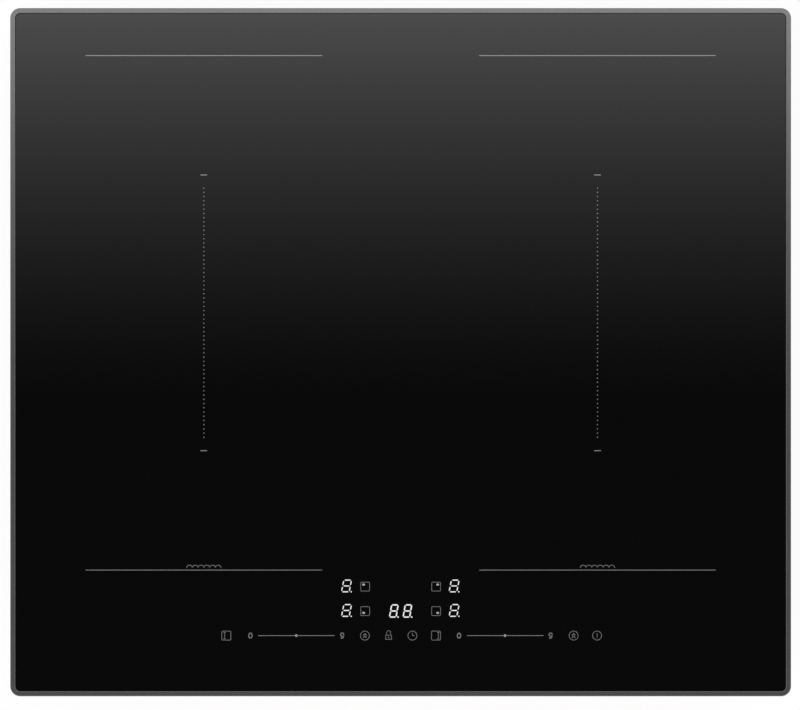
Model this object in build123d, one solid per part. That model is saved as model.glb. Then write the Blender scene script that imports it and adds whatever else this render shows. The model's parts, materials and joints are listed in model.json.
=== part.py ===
from build123d import *

import os
from math import cos, radians, sin, sqrt

# Built-in induction cooktop of the 60 cm class, in millimetres.
# +Z is up and the feet stand on z = 0. The user stands at -Y and +X is to the user's right.
# The origin is under the middle of the glass. Each function makes one piece, or one set of like pieces.

# ---------------------------------------------------------------- overall
WIDTH = 590.0  # over the trim, left to right
DEPTH = 520.0  # over the trim, front to back
HEIGHT = 62.0  # foot to the top of the trim

# ---------------------------------------------------------------- glass, trim and seal
GLASS_T = 4.0
GLASS_DROP = 0.2  # the trim stands this much proud of the glass
GLASS_GAP = 0.15  # silicone joint between glass and trim
GLASS_ARRIS = 0.3
TRIM_FACE = 3.75  # width of the trim seen from above
TRIM_FLANGE = 14.0  # reach of the trim's lower flange
TRIM_FLANGE_T = 1.2
TRIM_BEVEL = 0.5
TRIM_INNER_BEVEL = 0.25
CORNER_R = 7.6
SEAL_INSET = 2.5  # from the trim's outer edge
SEAL_W = 8.0
SEAL_T = 2.0
SEAL_INNER_R = 1.0

# ---------------------------------------------------------------- case
WORKTOP_LAP = 12.5  # the trim covers this much of the worktop round its cut-out
CUTOUT_GAP = 4.5  # all round, between the case and the cut-out
SHEET = 1.0
CASE_R = 8.0
BEND_R = 2.5
SHELF_Z = 30.0  # underside of the step where the case narrows
SHELF_W = 20.0
CASE_TOP_GAP = 1.3  # between the case's rim and the glass
FOOT_H = 1.5
FOOT_R = 12.0
FOOT_INSET = 32.0
CARRIER_T = 0.8
CARRIER_FLANGE = 12.0
CARRIER_SKIRT = 13.0
CARRIER_R = 7.0

# ---------------------------------------------------------------- vents
VENT_W = 4.0
VENT_PITCH = 8.0
INTAKE_R = 33.0
EXHAUST_X = 62.0  # middle of each row of front slots
EXHAUST_COUNT = 11
EXHAUST_H = 15.0
FLOOR_VENT_LENGTH = 34.0
FLOOR_VENT_ROWS = 9

# ---------------------------------------------------------------- case screws
HEAD_ROUND = 0.45  # share of a screw head's height that is rounded
RECESS_W = 0.28  # cross recess, as shares of the head's radius and height
RECESS_L = 1.1
RECESS_H = 0.6
SCREW_R = 1.9
SCREW_SLACK = 0.1
SCREW_HEAD_R = 3.6
SCREW_HEAD_H = 2.0
SCREW_LENGTH = 6.0
SCREW_DROP = 8.0  # below the underside of the glass
SIDE_SCREW_PITCH = 160.0
END_SCREW_PITCH = 190.0

# ---------------------------------------------------------------- heating zones
ZONE_INSET = 129.3  # centre line of each zone from the side of the case
COIL_REAR_GAP = 16.1  # coil tray to the case's rear wall
COIL_FRONT_GAP = 2.1  # coil tray to the control tray
COIL_GAP = 28.0  # rear coil's former to front coil's former
COIL_R = 48.0
COIL_EYE = 56.0
COIL_EYE_R = 24.0
COIL_T = 4.5
COIL_TURNS = 9
TURN_GROOVE = 0.8
MICA_T = 0.6
MICA_MARGIN = 2.0
FORMER_T = 2.5
FORMER_RIM = 2.0
FORMER_WALL = 2.0
SENSOR_HOLE_R = 11.0
FERRITE_INSET = 8.0  # from a winding's edge
FERRITE_W = 12.0
FERRITE_T = 5.0
FERRITE_SEAT = 1.0  # depth of the former's pocket over each bar
FERRITE_GAP = 0.15
FERRITE_IN = 24.0
FERRITE_COUNT = 8
TRAY_T = 1.2
TRAY_MARGIN = 2.0
TRAY_R = 8.0
TRAY_LIP = 3.0
SENSOR_CAP_R = 7.0
SENSOR_CAP_T = 2.0
SENSOR_STEM_R = 4.5
SENSOR_FOOT_R = 8.5
FLOAT_TRAVEL = 3.0  # how far a coil tray can be pushed down on its springs

# ---------------------------------------------------------------- coil rails and springs
RAIL_W = 24.0
RAIL_T = 1.2
RAIL_REST = 6.3  # from a rail's flanges up to the coil tray
RAIL_OFFSET = 50.0  # each side of a zone's centre line
RAIL_END_GAP = 1.0
SPRING_R = 4.2  # to the centre of the wire
SPRING_WIRE_R = 0.45
SPRING_TURNS = 4.0
SPRING_SEAT = 0.05
SPRING_INSET = 20.0  # from the coil tray's ends

# ---------------------------------------------------------------- circuit boards
BOARD_T = 1.6
BOARD_R = 2.0
SPACER_H = 6.0
SPACER_R = 3.5
SPACER_PIN_R = 1.6
SPACER_HEAD_R = 2.8
SPACER_HEAD_H = 1.6
SPACER_INSET = 6.0
BOARD_HOLE_R = 1.75
POWER_X = 204.0
POWER_Y = 196.0
POWER_INNER_X = 8.0  # inner edge of each power board from the middle
POWER_REAR_GAP = 1.0  # power board to blower outlet
FILTER_X = 124.0
FILTER_Y = 84.0
FILTER_SIDE_GAP = 5.0  # filter board to the outer face of the case's side
FILTER_REAR_GAP = 11.0

# ---------------------------------------------------------------- heatsinks
SINK_W = 46.0
SINK_L = 150.0
SINK_CLEAR = 0.9  # under a coil tray that is pushed right down
SINK_BASE = 4.0
SINK_FINS = 9
SINK_FIN_T = 1.5
SINK_INSET = 2.0  # from the board's inner edge
TRANSISTOR_W = 16.0
TRANSISTOR_H = 20.0
TRANSISTOR_T = 5.0
TRANSISTOR_PITCH = 26.0
TRANSISTOR_COUNT = 5

# ---------------------------------------------------------------- parts on the boards: (X, Y, height)
RESONANT_CAPACITOR = (30.0, 34.0, 18.5)
BUS_CAPACITOR = (12.0, 32.0, 17.0)
RELAY = (26.0, 24.0, 18.0)
PLUG_SOCKET = (8.0, 12.0, 9.0)
MAINS_SOCKET = (10.0, 18.0, 8.0)
TALL_FILM = (14.0, 32.0, 18.0)
WIDE_FILM = (26.0, 14.0, 16.0)
FUSE_HOLDER = (28.0, 12.0, 17.0)
SMALL_RELAY = (20.0, 16.0, 15.0)
CAN_R = 9.0
CAN_H = 19.0
VARISTOR_R = 4.0
VARISTOR_H = 12.0
TOROID_R = 17.0
TOROID_HOLE_R = 8.0
TOROID_H = 15.0
PART_EDGE = 0.8
PART_GAP = 12.0  # between columns of parts on a power board
PART_ROW = 60.0  # from the board's middle to its outer rows
SOCKET_PITCH = 16.0
SOCKET_COUNT = 4
FILTER_SOCKET_ROW = 21.0  # rows of the filter board's parts from its middle
FILTER_REAR_ROW = 10.5
FILTER_FRONT_ROW = 26.0

# ---------------------------------------------------------------- blowers
BLOWER_X = 54.0
BLOWER_INSET = 60.0  # centre to the case's rear
BLOWER_R = 41.0
BLOWER_WALL = 1.5
BLOWER_H = 26.0
BLOWER_FLOOR_T = 1.5
BLOWER_LID_T = 1.5
BLOWER_INLET_R = 25.0
OUTLET_W = 40.0
OUTLET_LENGTH = 50.0  # blower centre to the mouth
EAR_R = 5.0
EAR_ANGLE = 50.0  # each side of the rearward direction
EAR_GAP = 0.4  # between a screw head and the scroll
WHEEL_R = 33.0
WHEEL_INNER_R = 26.0
WHEEL_RING_W = 1.5
WHEEL_BLADES = 30
WHEEL_BLADE_T = 0.8
WHEEL_BLADE_TURN = 35.0
WHEEL_BLADE_STRETCH = 1.05  # chord of a blade over the depth of the blade ring
WHEEL_BLADE_INSET = 0.3
WHEEL_GAP = 2.5  # above the floor and under the lid
WHEEL_DISC_T = 1.4
WHEEL_CUP_R = 14.0
WHEEL_CUP_WALL = 1.4
SHAFT_R = 1.5
SHAFT_SLACK = 0.05
BEARING_R = 3.2
STATOR_R = 10.6  # over its pole shoes
STATOR_RING = 2.0
STATOR_POLES = 4
STATOR_POLE_W = 5.0
STATOR_SHOE_W = 9.4
STATOR_SHOE_T = 2.4
STATOR_T = 7.0

# ---------------------------------------------------------------- touch controls
CONTROL_X = 312.0
CONTROL_Y = 55.0
CONTROL_R = 3.0
CONTROL_CENTRE_X = 8.5
CONTROL_FRONT_GAP = 14.2  # control tray to the case's front wall
TOUCH_H = 6.7  # from the board to the glass
TRAY_WALL = 1.8
TRAY_DEPTH = 6.0  # below the control board
TRAY_LEDGE = 3.0
TRAY_SLACK = 0.5
LEG_X = 10.0
LEG_Y = 8.0
KEY_PITCH = 17.75
KEY_STEPS = (-7.4, -1.5, -0.5, 0.5, 1.5, 7.4, 8.4)  # function keys, in pitches from the middle
KEY_ROW = -16.1  # rows from the middle of the control board
REAR_ROW = 21.0
FRONT_ROW = 2.6
DIGIT_X = 40.6
TIMER_DIGIT_X = 5.1
ICON_X = 26.9
SLIDER_X = 78.8
SLIDER_LENGTH = 58.5
SLIDER_PADS = 6
TOUCH_SPRING_R = 3.6
TOUCH_SPRING_WALL = 0.7
DIGIT_W = 9.0
DIGIT_L = 14.0
DIGIT_H = 6.2

# ---------------------------------------------------------------- mains terminals
TERMINAL_INSET = 60.0  # middle of the terminals from the side of the pan
BOX_W = 96.0
BOX_DEPTH = 46.0
BOX_WALL = 2.0
BOX_TOP_GAP = 1.0
WINDOW_H = 22.0
WINDOW_DROP = 2.0  # below the step
WINDOW_SLACK = 0.3
HINGE_DROP = 4.5  # hinge axis below the step
HINGE_OUT = 2.8  # hinge axis behind the case wall
HINGE_PIN_R = 1.5
HINGE_SLACK = 0.08
HINGE_EAR_W = 4.0
KNUCKLE_R = 2.3
COVER_T = 2.0
COVER_SLACK = 0.5
COVER_SEAT = 0.3
COVER_LAP = 1.0  # below the window
COVER_PULL = 2.0
COVER_PULL_W = 20.0
COVER_RIB = 1.0
COVER_RIB_INSET = 13.0
BLOCK_W = 62.0
BLOCK_D = 20.0
BLOCK_H = 13.0
BLOCK_WAYS = 5
BLOCK_WEB = 2.4
BLOCK_BORE = 5.0
BLOCK_SCREW_H = 3.5
BLOCK_SCREW_GAP = 0.2
BLOCK_SLOT = 0.9
GLAND_PITCH = 72.0  # from the middle of the terminals
GLAND_BORE_R = 5.5
GLAND_THREAD_R = 8.0
GLAND_HEX = 20.0  # across flats
GLAND_WALL = 1.0
GLAND_FLANGE_T = 5.0
GLAND_DOME_T = 9.0
GLAND_NUT_T = 4.0
GLAND_TAIL = 5.0  # inside the case wall

# ---------------------------------------------------------------- worktop clamps
CLAMP_INSET = 67.0  # pivots from the front and rear of the case
CLAMP_PLATE_R = 8.0
CLAMP_T = 2.0
CLAMP_ARM_W = 13.0
CLAMP_DROP = 18.5  # pivot plate down to the arm
CLAMP_REACH = 38.0  # pivot to jack screw
CLAMP_SLACK = 0.2  # between the step and the pivot plate
PIVOT_R = 2.0
PIVOT_SLACK = 0.06
PIVOT_HEAD_R = 4.0
PIVOT_HEAD_H = 2.2
NUT_FLATS = 8.0
NUT_T = 3.2
JACK_R = 2.5
JACK_SLACK = 0.08
JACK_LOW = 2.0  # lower end of the screw when run down
JACK_SOCKET = 3.0  # across the flats of its hexagon socket
JACK_SOCKET_DEPTH = 3.0
JACK_PAD_R = 4.5
JACK_PAD_T = 2.0
JACK_PAD_GAP = 0.3  # above the arm's boss when run down
BOSS_R = 5.0
BOSS_T = 3.0

# ---------------------------------------------------------------- wiring
LEAD_R = 1.5
LEAD_COUNT = 3
LEAD_PITCH = 3.5
LEAD_BEND = 15.0
LEAD_SLACK = 0.3
LEAD_TURN = 16.0  # length along X of each sideways shift
LEAD_CLEAR = 1.0  # behind the blowers
RIBBON_W = 16.0
RIBBON_T = 1.0
RIBBON_INSET = 10.0  # its middle from a power board's inner edge
RIBBON_LANDING = 11.0  # its lower plug from that board's front edge
RIBBON_BEND = 8.0
RIBBON_STRAIGHT = 14.0
RIBBON_PLUG = (18.0, 6.0)  # (X, Y) of the plug at each end
RIBBON_PLUG_H = 3.6

# ---------------------------------------------------------------- levels and outlines that follow
SIDES = {"left": -1, "right": 1}
ENDS = {"rear": 1, "front": -1}
OVERCUT = 1.0  # how far a cut runs past the face it opens

GLASS_TOP = HEIGHT - GLASS_DROP
GLASS_LOW = GLASS_TOP - GLASS_T
FLANGE_LOW = GLASS_LOW - TRIM_FLANGE_T
SEAL_LOW = FLANGE_LOW - SEAL_T

CASE_X = WIDTH - 2 * WORKTOP_LAP - 2 * CUTOUT_GAP
CASE_Y = DEPTH - 2 * WORKTOP_LAP - 2 * CUTOUT_GAP
PAN_X = CASE_X - 2 * SHELF_W
PAN_Y = CASE_Y - 2 * SHELF_W
PAN_REAR = PAN_Y / 2
CASE_TOP = GLASS_LOW - CASE_TOP_GAP
FLOOR_Z = FOOT_H + SHEET  # inner face of the case floor
SHELF_TOP = SHELF_Z + SHEET

SCREW_Z = GLASS_LOW - SCREW_DROP

CONTROL_TRAY_Y = CONTROL_Y + 2 * TRAY_SLACK + 2 * TRAY_WALL
CONTROL_CENTRE_Y = -CASE_Y / 2 + SHEET + CONTROL_FRONT_GAP + CONTROL_TRAY_Y / 2
KEY_ROW_Y = CONTROL_CENTRE_Y + KEY_ROW
ROW_REAR_Y = CONTROL_CENTRE_Y + REAR_ROW
ROW_FRONT_Y = CONTROL_CENTRE_Y + FRONT_ROW
CONTROL_TOP = GLASS_LOW - TOUCH_H
CONTROL_LOW = CONTROL_TOP - BOARD_T
CONTROL_TRAY_LOW = CONTROL_LOW - TRAY_DEPTH

ZONE_X = CASE_X / 2 - ZONE_INSET
TRAY_FRONT = CONTROL_CENTRE_Y + CONTROL_TRAY_Y / 2 + COIL_FRONT_GAP
TRAY_REAR = CASE_Y / 2 - SHEET - COIL_REAR_GAP
TRAY_Y = TRAY_REAR - TRAY_FRONT
ZONE_Y = (TRAY_REAR + TRAY_FRONT) / 2
FORMER_SIZE = (TRAY_Y - 2 * TRAY_MARGIN - COIL_GAP) / 2
TRAY_X = FORMER_SIZE + 2 * TRAY_MARGIN
COIL_PITCH = FORMER_SIZE + COIL_GAP
COIL_SIZE = FORMER_SIZE - 2 * FORMER_RIM - 2 * FORMER_WALL
FERRITE_L = COIL_SIZE / 2 - FERRITE_IN - FERRITE_INSET
SPRING_REACH = TRAY_Y / 2 - SPRING_INSET  # outer springs from the middle of a zone
COIL_TOP = GLASS_LOW - MICA_T
COIL_LOW = COIL_TOP - COIL_T
FORMER_LOW = COIL_LOW - FORMER_T
TRAY_TOP = FORMER_LOW + FERRITE_SEAT - FERRITE_T
TRAY_LOW = TRAY_TOP - TRAY_T
RAIL_TOP = SHELF_TOP + RAIL_T
RAIL_HIGH = TRAY_LOW - RAIL_REST

BOARD_LOW = FLOOR_Z + SPACER_H
BOARD_TOP = BOARD_LOW + BOARD_T
BLOWER_Y = PAN_REAR - BLOWER_INSET
POWER_CENTRE_X = POWER_INNER_X + POWER_X / 2
POWER_CENTRE_Y = BLOWER_Y - OUTLET_LENGTH - POWER_REAR_GAP - POWER_Y / 2
FILTER_CENTRE_X = PAN_X / 2 - FILTER_SIDE_GAP - FILTER_X / 2
FILTER_CENTRE_Y = PAN_REAR - FILTER_REAR_GAP - FILTER_Y / 2
MAINS_SOCKET_X = FILTER_CENTRE_X - FILTER_X / 2 + MAINS_SOCKET[0]
MAINS_SOCKET_Y = FILTER_CENTRE_Y + FILTER_SOCKET_ROW
SINK_X = POWER_INNER_X + SINK_INSET + SINK_W / 2
SINK_Y = POWER_CENTRE_Y
SINK_TOP = TRAY_LOW - FLOAT_TRAVEL - SINK_CLEAR

BLOWER_TOP = FLOOR_Z + BLOWER_H
BLOWER_LID_LOW = BLOWER_TOP - BLOWER_LID_T
BLOWER_FLOOR_TOP = FLOOR_Z + BLOWER_FLOOR_T
OUTLET_X = SINK_X  # each outlet blows along its heatsink

TERMINAL_X = TERMINAL_INSET - PAN_X / 2
WINDOW_LOW = SHELF_Z - WINDOW_DROP - WINDOW_H
BOX_LOW = FLOOR_Z + BEND_R  # clear of the bend between floor and wall
BOX_HIGH = SHELF_Z - BOX_TOP_GAP
BOX_Y = PAN_REAR - SHEET - BOX_DEPTH / 2
BLOCK_LOW = BOX_LOW + BOX_WALL
HINGE_Y = PAN_REAR + HINGE_OUT
HINGE_Z = SHELF_Z - HINGE_DROP
WINDOW_W = BOX_W - 2 * BOX_WALL - 2 * WINDOW_SLACK
GLAND_X = TERMINAL_X + GLAND_PITCH
GLAND_Z = (FOOT_H + SHELF_Z) / 2
RIBBON_X = POWER_INNER_X + RIBBON_INSET
LEAD_Z = BLOCK_LOW + BLOCK_H / 2

PIVOT_X = CASE_X / 2 - SHELF_W / 2
PIVOT_Y = CASE_Y / 2 - CLAMP_INSET
CLAMP_TOP = SHELF_Z - CLAMP_SLACK
ARM_TOP = CLAMP_TOP - CLAMP_DROP
ARM_LOW = ARM_TOP - CLAMP_T
BOSS_TOP = ARM_TOP + BOSS_T


# ---------------------------------------------------------------- small helpers
def slab(size_x, size_y, low, high, radius=0.0, x=0.0, y=0.0):
    """An upright block between two heights, with rounded corners if a radius is given."""
    outline = RectangleRounded(size_x, size_y, radius) if radius else Rectangle(size_x, size_y)
    return extrude(Pos(x, y, low) * outline, high - low)


def post(radius, low, high, x=0.0, y=0.0):
    """An upright cylinder between two heights."""
    return extrude(Pos(x, y, low) * Circle(radius), high - low)


def hexagon(flats, low, high, x=0.0, y=0.0):
    """An upright hexagonal prism, measured across its flats."""
    return extrude(Pos(x, y, low) * RegularPolygon(flats / sqrt(3), 6), high - low)


def group(pieces):
    """Like pieces as one set of separate solids."""
    return Compound([solid for piece in pieces for solid in piece.solids()])


def spread(count, pitch):
    """Places on both sides of a middle, a pitch apart."""
    return [(n - (count - 1) / 2) * pitch for n in range(count)]


def screw(shank_r, length, head_r, head_h):
    """A cross-head screw along Z: the head stands on z = 0 and the shank hangs below it."""
    head = fillet(post(head_r, 0, head_h).edges().sort_by(Axis.Z)[-1], head_h * HEAD_ROUND)
    width, length_over, recess_low = head_r * RECESS_W, head_r * RECESS_L, head_h * (1 - RECESS_H)
    cross = slab(width, length_over, recess_low, head_h + OVERCUT)
    cross += slab(length_over, width, recess_low, head_h + OVERCUT)
    return head - cross + post(shank_r, -length, 0)


# ---------------------------------------------------------------- glass, trim and seal
def glass_panel():
    size_x = WIDTH - 2 * TRIM_FACE - 2 * GLASS_GAP
    size_y = DEPTH - 2 * TRIM_FACE - 2 * GLASS_GAP
    panel = slab(size_x, size_y, GLASS_LOW, GLASS_TOP, CORNER_R - TRIM_FACE)
    return chamfer(panel.faces().sort_by(Axis.Z)[-1].edges(), GLASS_ARRIS)


def trim_frame():
    """An L-section frame: its leg borders the glass and its flange carries it."""
    blank = slab(WIDTH, DEPTH, FLANGE_LOW, HEIGHT, CORNER_R)
    blank = chamfer(blank.faces().sort_by(Axis.Z)[-1].edges(), TRIM_BEVEL)
    pocket_x, pocket_y = WIDTH - 2 * TRIM_FACE, DEPTH - 2 * TRIM_FACE
    pocket = slab(pocket_x, pocket_y, GLASS_LOW, HEIGHT + OVERCUT, CORNER_R - TRIM_FACE)
    window_x, window_y = WIDTH - 2 * TRIM_FLANGE, DEPTH - 2 * TRIM_FLANGE
    window = slab(window_x, window_y, FLANGE_LOW - OVERCUT, HEIGHT, CASE_R)
    frame = blank - pocket - window
    top = frame.faces().filter_by(Axis.Z).sort_by(Axis.Z)[-1]
    return chamfer(top.inner_wires()[0].edges(), TRIM_INNER_BEVEL)


def worktop_seal():
    outer_x, outer_y = WIDTH - 2 * SEAL_INSET, DEPTH - 2 * SEAL_INSET
    outer_r = CORNER_R - SEAL_INSET
    seal = slab(outer_x, outer_y, SEAL_LOW, FLANGE_LOW, outer_r)
    return seal - slab(outer_x - 2 * SEAL_W, outer_y - 2 * SEAL_W, SEAL_LOW, FLANGE_LOW, SEAL_INNER_R)


# ---------------------------------------------------------------- case
def wall_screw_places():
    """(location, with +Z out of the wall) of each screw through the case's upper wall."""
    places = []
    for step in (-1, 0, 1):
        y = step * SIDE_SCREW_PITCH
        places += [Location((s * CASE_X / 2, y, SCREW_Z), (0, s * 90, 0)) for s in (-1, 1)]
        x = step * END_SCREW_PITCH
        places += [Location((x, s * CASE_Y / 2, SCREW_Z), (-s * 90, 0, 0)) for s in (-1, 1)]
    return places


def wall_screw_holes():
    hole = post(SCREW_R + SCREW_SLACK, -2 * SCREW_LENGTH, SCREW_HEAD_H)
    return [place * hole for place in wall_screw_places()]


def glass_carrier():
    """A folded steel ring: the flange is bonded under the glass and the skirt lines the case."""
    wall_x, wall_y = CASE_X - 2 * SHEET, CASE_Y - 2 * SHEET
    radius = CASE_R - SHEET
    skirt_low, flange_low = GLASS_LOW - CARRIER_SKIRT, GLASS_LOW - CARRIER_T
    ring = slab(wall_x, wall_y, skirt_low, GLASS_LOW, radius)
    inner_x, inner_y = wall_x - 2 * CARRIER_T, wall_y - 2 * CARRIER_T
    ring -= slab(inner_x, inner_y, skirt_low, flange_low, radius - CARRIER_T)
    lip = 2 * CARRIER_FLANGE
    ring -= slab(wall_x - lip, wall_y - lip, skirt_low, GLASS_LOW, CARRIER_R)
    return ring - wall_screw_holes()


def intake_slots(x, y):
    """Parallel slots that fill a circle under a blower's inlet."""
    rows = int(INTAKE_R / VENT_PITCH)
    slots = []
    for row in range(-rows, rows + 1):
        across = row * VENT_PITCH
        length = 2 * sqrt(INTAKE_R**2 - across**2)
        slots.append(Pos(x, y + across, 0) * SlotOverall(max(length, 2 * VENT_W), VENT_W))
    return [extrude(slot, FLOOR_Z + OVERCUT) for slot in slots]


def wall_vents(x, wall_y):
    """A row of upright slots through the pan's front wall."""
    middle = (FOOT_H + SHELF_Z) / 2
    slots = []
    for step in spread(EXHAUST_COUNT, VENT_PITCH):
        at = Location((x + step, wall_y, middle), (90, 0, 0))
        slots.append(extrude(at * SlotOverall(EXHAUST_H, VENT_W, rotation=90), 2 * SHEET, both=True))
    return slots


def floor_vents(x, y):
    """A block of short slots through the case floor."""
    slots = []
    for step in spread(FLOOR_VENT_ROWS, VENT_PITCH):
        slot = Pos(x + step, y, 0) * SlotOverall(FLOOR_VENT_LENGTH, VENT_W, rotation=90)
        slots.append(extrude(slot, FLOOR_Z + OVERCUT))
    return slots


def vents():
    cuts = []
    for sign in SIDES.values():
        cuts += intake_slots(sign * BLOWER_X, BLOWER_Y)
        cuts += wall_vents(sign * EXHAUST_X, -PAN_Y / 2 + SHEET / 2)
        cuts += floor_vents(sign * POWER_CENTRE_X, -PAN_Y / 2 + FLOOR_VENT_LENGTH)
        cuts += floor_vents(sign * POWER_CENTRE_X, POWER_CENTRE_Y)
    return cuts


def foot_places():
    reach_x, reach_y = PAN_X / 2 - FOOT_INSET, PAN_Y / 2 - FOOT_INSET
    return [(sx * reach_x, sy * reach_y) for sx in (-1, 1) for sy in (-1, 1)]


def clamp_places():
    """(name, x, y, sign of y) of each worktop clamp's pivot."""
    return [
        (f"{end}_{side}", sign * PIVOT_X, step * PIVOT_Y, step)
        for side, sign in SIDES.items()
        for end, step in ENDS.items()
    ]


def case_pan():
    """The deep lower part of the case, pressed with its feet and slots."""
    pan_r = CASE_R + BEND_R
    outer = slab(PAN_X, PAN_Y, FOOT_H, SHELF_TOP, pan_r)
    outer = fillet(outer.faces().sort_by(Axis.Z)[0].edges(), BEND_R)
    pit = slab(PAN_X - 2 * SHEET, PAN_Y - 2 * SHEET, FLOOR_Z, SHELF_TOP + OVERCUT, pan_r - SHEET)
    pit = fillet(pit.faces().sort_by(Axis.Z)[0].edges(), BEND_R - SHEET)
    for x, y in foot_places():
        outer += post(FOOT_R, 0, FOOT_H + SHEET / 2, x, y)
        pit += post(FOOT_R - SHEET, SHEET, FLOOR_Z + SHEET, x, y)
    pan = outer - pit - vents()
    for sign in SIDES.values():
        pan -= [post(SCREW_R + SCREW_SLACK, FOOT_H, FLOOR_Z, x, y) for x, y in blower_ears(sign)]
    window = Pos(TERMINAL_X, PAN_REAR - SHEET / 2, WINDOW_LOW + WINDOW_H / 2)
    pan -= window * Box(WINDOW_W, 4 * SHEET, WINDOW_H)
    gland_hole = Location((GLAND_X, PAN_REAR + OVERCUT, GLAND_Z), (90, 0, 0))
    return pan - extrude(gland_hole * Circle(GLAND_THREAD_R + SCREW_SLACK), SHEET + 2 * OVERCUT)


def case_rim():
    """The case's step and upper walls, welded round the pan; the clamps stow under the step."""
    rim = slab(CASE_X, CASE_Y, SHELF_Z, CASE_TOP, CASE_R)
    rim -= slab(CASE_X - 2 * SHEET, CASE_Y - 2 * SHEET, SHELF_TOP, HEIGHT, CASE_R - SHEET)
    rim -= slab(PAN_X, PAN_Y, SHELF_Z, SHELF_TOP, CASE_R + BEND_R)
    rim -= wall_screw_holes()
    return rim - [post(PIVOT_R + PIVOT_SLACK, SHELF_Z, SHELF_TOP, x, y) for _, x, y, _ in clamp_places()]


def case_screws():
    """The screws through the upper walls and the blowers' screws."""
    one = screw(SCREW_R, SCREW_LENGTH, SCREW_HEAD_R, SCREW_HEAD_H)
    screws = [place * one for place in wall_screw_places()]
    for sign in SIDES.values():
        screws += [Pos(x, y, ear_top()) * one for x, y in blower_ears(sign)]
    return group(screws)


# ---------------------------------------------------------------- coil rails and trays
def rail_lines():
    return [sign * (ZONE_X + step * RAIL_OFFSET) for sign in (-1, 1) for step in (-1, 1)]


def coil_rails():
    """Steel channels across the case, lying on its step, that the coil springs stand in."""
    length = CASE_Y - 2 * SHEET - 2 * RAIL_END_GAP
    rails = []
    for x in rail_lines():
        rail = slab(RAIL_W, length, SHELF_TOP, RAIL_HIGH, x=x)
        rails.append(rail - slab(RAIL_W - 2 * RAIL_T, length, RAIL_TOP, HEIGHT, x=x))
    return group(rails)


def coil_centres(sign):
    return {end: (sign * ZONE_X, ZONE_Y + step * COIL_PITCH / 2) for end, step in ENDS.items()}


def coil_tray(sign):
    """The aluminium sheet under a zone's two coils, with a short lip all round."""
    x = sign * ZONE_X
    tray = slab(TRAY_X, TRAY_Y, TRAY_LOW, TRAY_TOP + TRAY_LIP, TRAY_R, x, ZONE_Y)
    inner_x, inner_y = TRAY_X - 2 * TRAY_T, TRAY_Y - 2 * TRAY_T
    tray -= slab(inner_x, inner_y, TRAY_TOP, HEIGHT, TRAY_R - TRAY_T, x, ZONE_Y)
    holes = [
        post(SENSOR_STEM_R, TRAY_LOW, TRAY_TOP, cx, cy) for cx, cy in coil_centres(sign).values()
    ]
    return tray - holes


def ferrite_bars(sign, grow=0.0):
    """Radial bars under both coils of a zone, or their pockets when grown by a clearance."""
    bars = []
    middle = FERRITE_IN + FERRITE_L / 2
    for cx, cy in coil_centres(sign).values():
        for n in range(FERRITE_COUNT):
            angle = 360 * n / FERRITE_COUNT
            at = Location((cx, cy, TRAY_TOP), (0, 0, angle)) * Pos(middle, 0, FERRITE_T / 2)
            bars.append(at * Box(FERRITE_L + 2 * grow, FERRITE_W + 2 * grow, FERRITE_T + 2 * grow))
    return group(bars)


def coil_formers(sign):
    """Moulded plates that hold the windings, with a rim, an eye wall and ferrite pockets."""
    formers = []
    radius = COIL_R + FORMER_RIM + FORMER_WALL
    for cx, cy in coil_centres(sign).values():
        rim_top = COIL_LOW + COIL_T / 2
        former = slab(FORMER_SIZE, FORMER_SIZE, TRAY_TOP, rim_top, radius, cx, cy)
        inside = FORMER_SIZE - 2 * FORMER_WALL
        inside_r = radius - FORMER_WALL
        former -= slab(inside, inside, COIL_LOW, HEIGHT, inside_r, cx, cy)
        former -= slab(inside, inside, TRAY_TOP, FORMER_LOW, inside_r, cx, cy)
        eye = FERRITE_IN - 2 * FERRITE_GAP
        former += post(eye, TRAY_TOP, COIL_LOW, cx, cy)
        former += post(SENSOR_HOLE_R + FORMER_WALL, COIL_LOW, COIL_TOP, cx, cy)
        formers.append(former - post(SENSOR_HOLE_R, TRAY_TOP, COIL_TOP, cx, cy))
    return group(formers) - ferrite_bars(sign, FERRITE_GAP)


def coil_winding(cx, cy):
    """A flat spiral of stranded wire, as one solid grooved between its turns."""
    winding = slab(COIL_SIZE, COIL_SIZE, COIL_LOW, COIL_TOP, COIL_R, cx, cy)
    winding -= slab(COIL_EYE, COIL_EYE, COIL_LOW, COIL_TOP, COIL_EYE_R, cx, cy)
    for turn in range(1, COIL_TURNS):
        share = turn / COIL_TURNS
        size = COIL_EYE + (COIL_SIZE - COIL_EYE) * share
        radius = COIL_EYE_R + (COIL_R - COIL_EYE_R) * share
        low = COIL_TOP - TURN_GROOVE
        groove = slab(size, size, low, HEIGHT, radius, cx, cy)
        inner = size - 2 * TURN_GROOVE
        winding -= groove - slab(inner, inner, low, HEIGHT, radius - TURN_GROOVE, cx, cy)
    return winding


def mica_sheets(sign):
    """Thin insulating sheets between the windings and the glass."""
    size, radius = COIL_SIZE + 2 * MICA_MARGIN, COIL_R + MICA_MARGIN
    sheets = []
    for cx, cy in coil_centres(sign).values():
        sheet = slab(size, size, COIL_TOP, GLASS_LOW, radius, cx, cy)
        sheets.append(sheet - post(SENSOR_HOLE_R, COIL_TOP, GLASS_LOW, cx, cy))
    return group(sheets)


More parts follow.
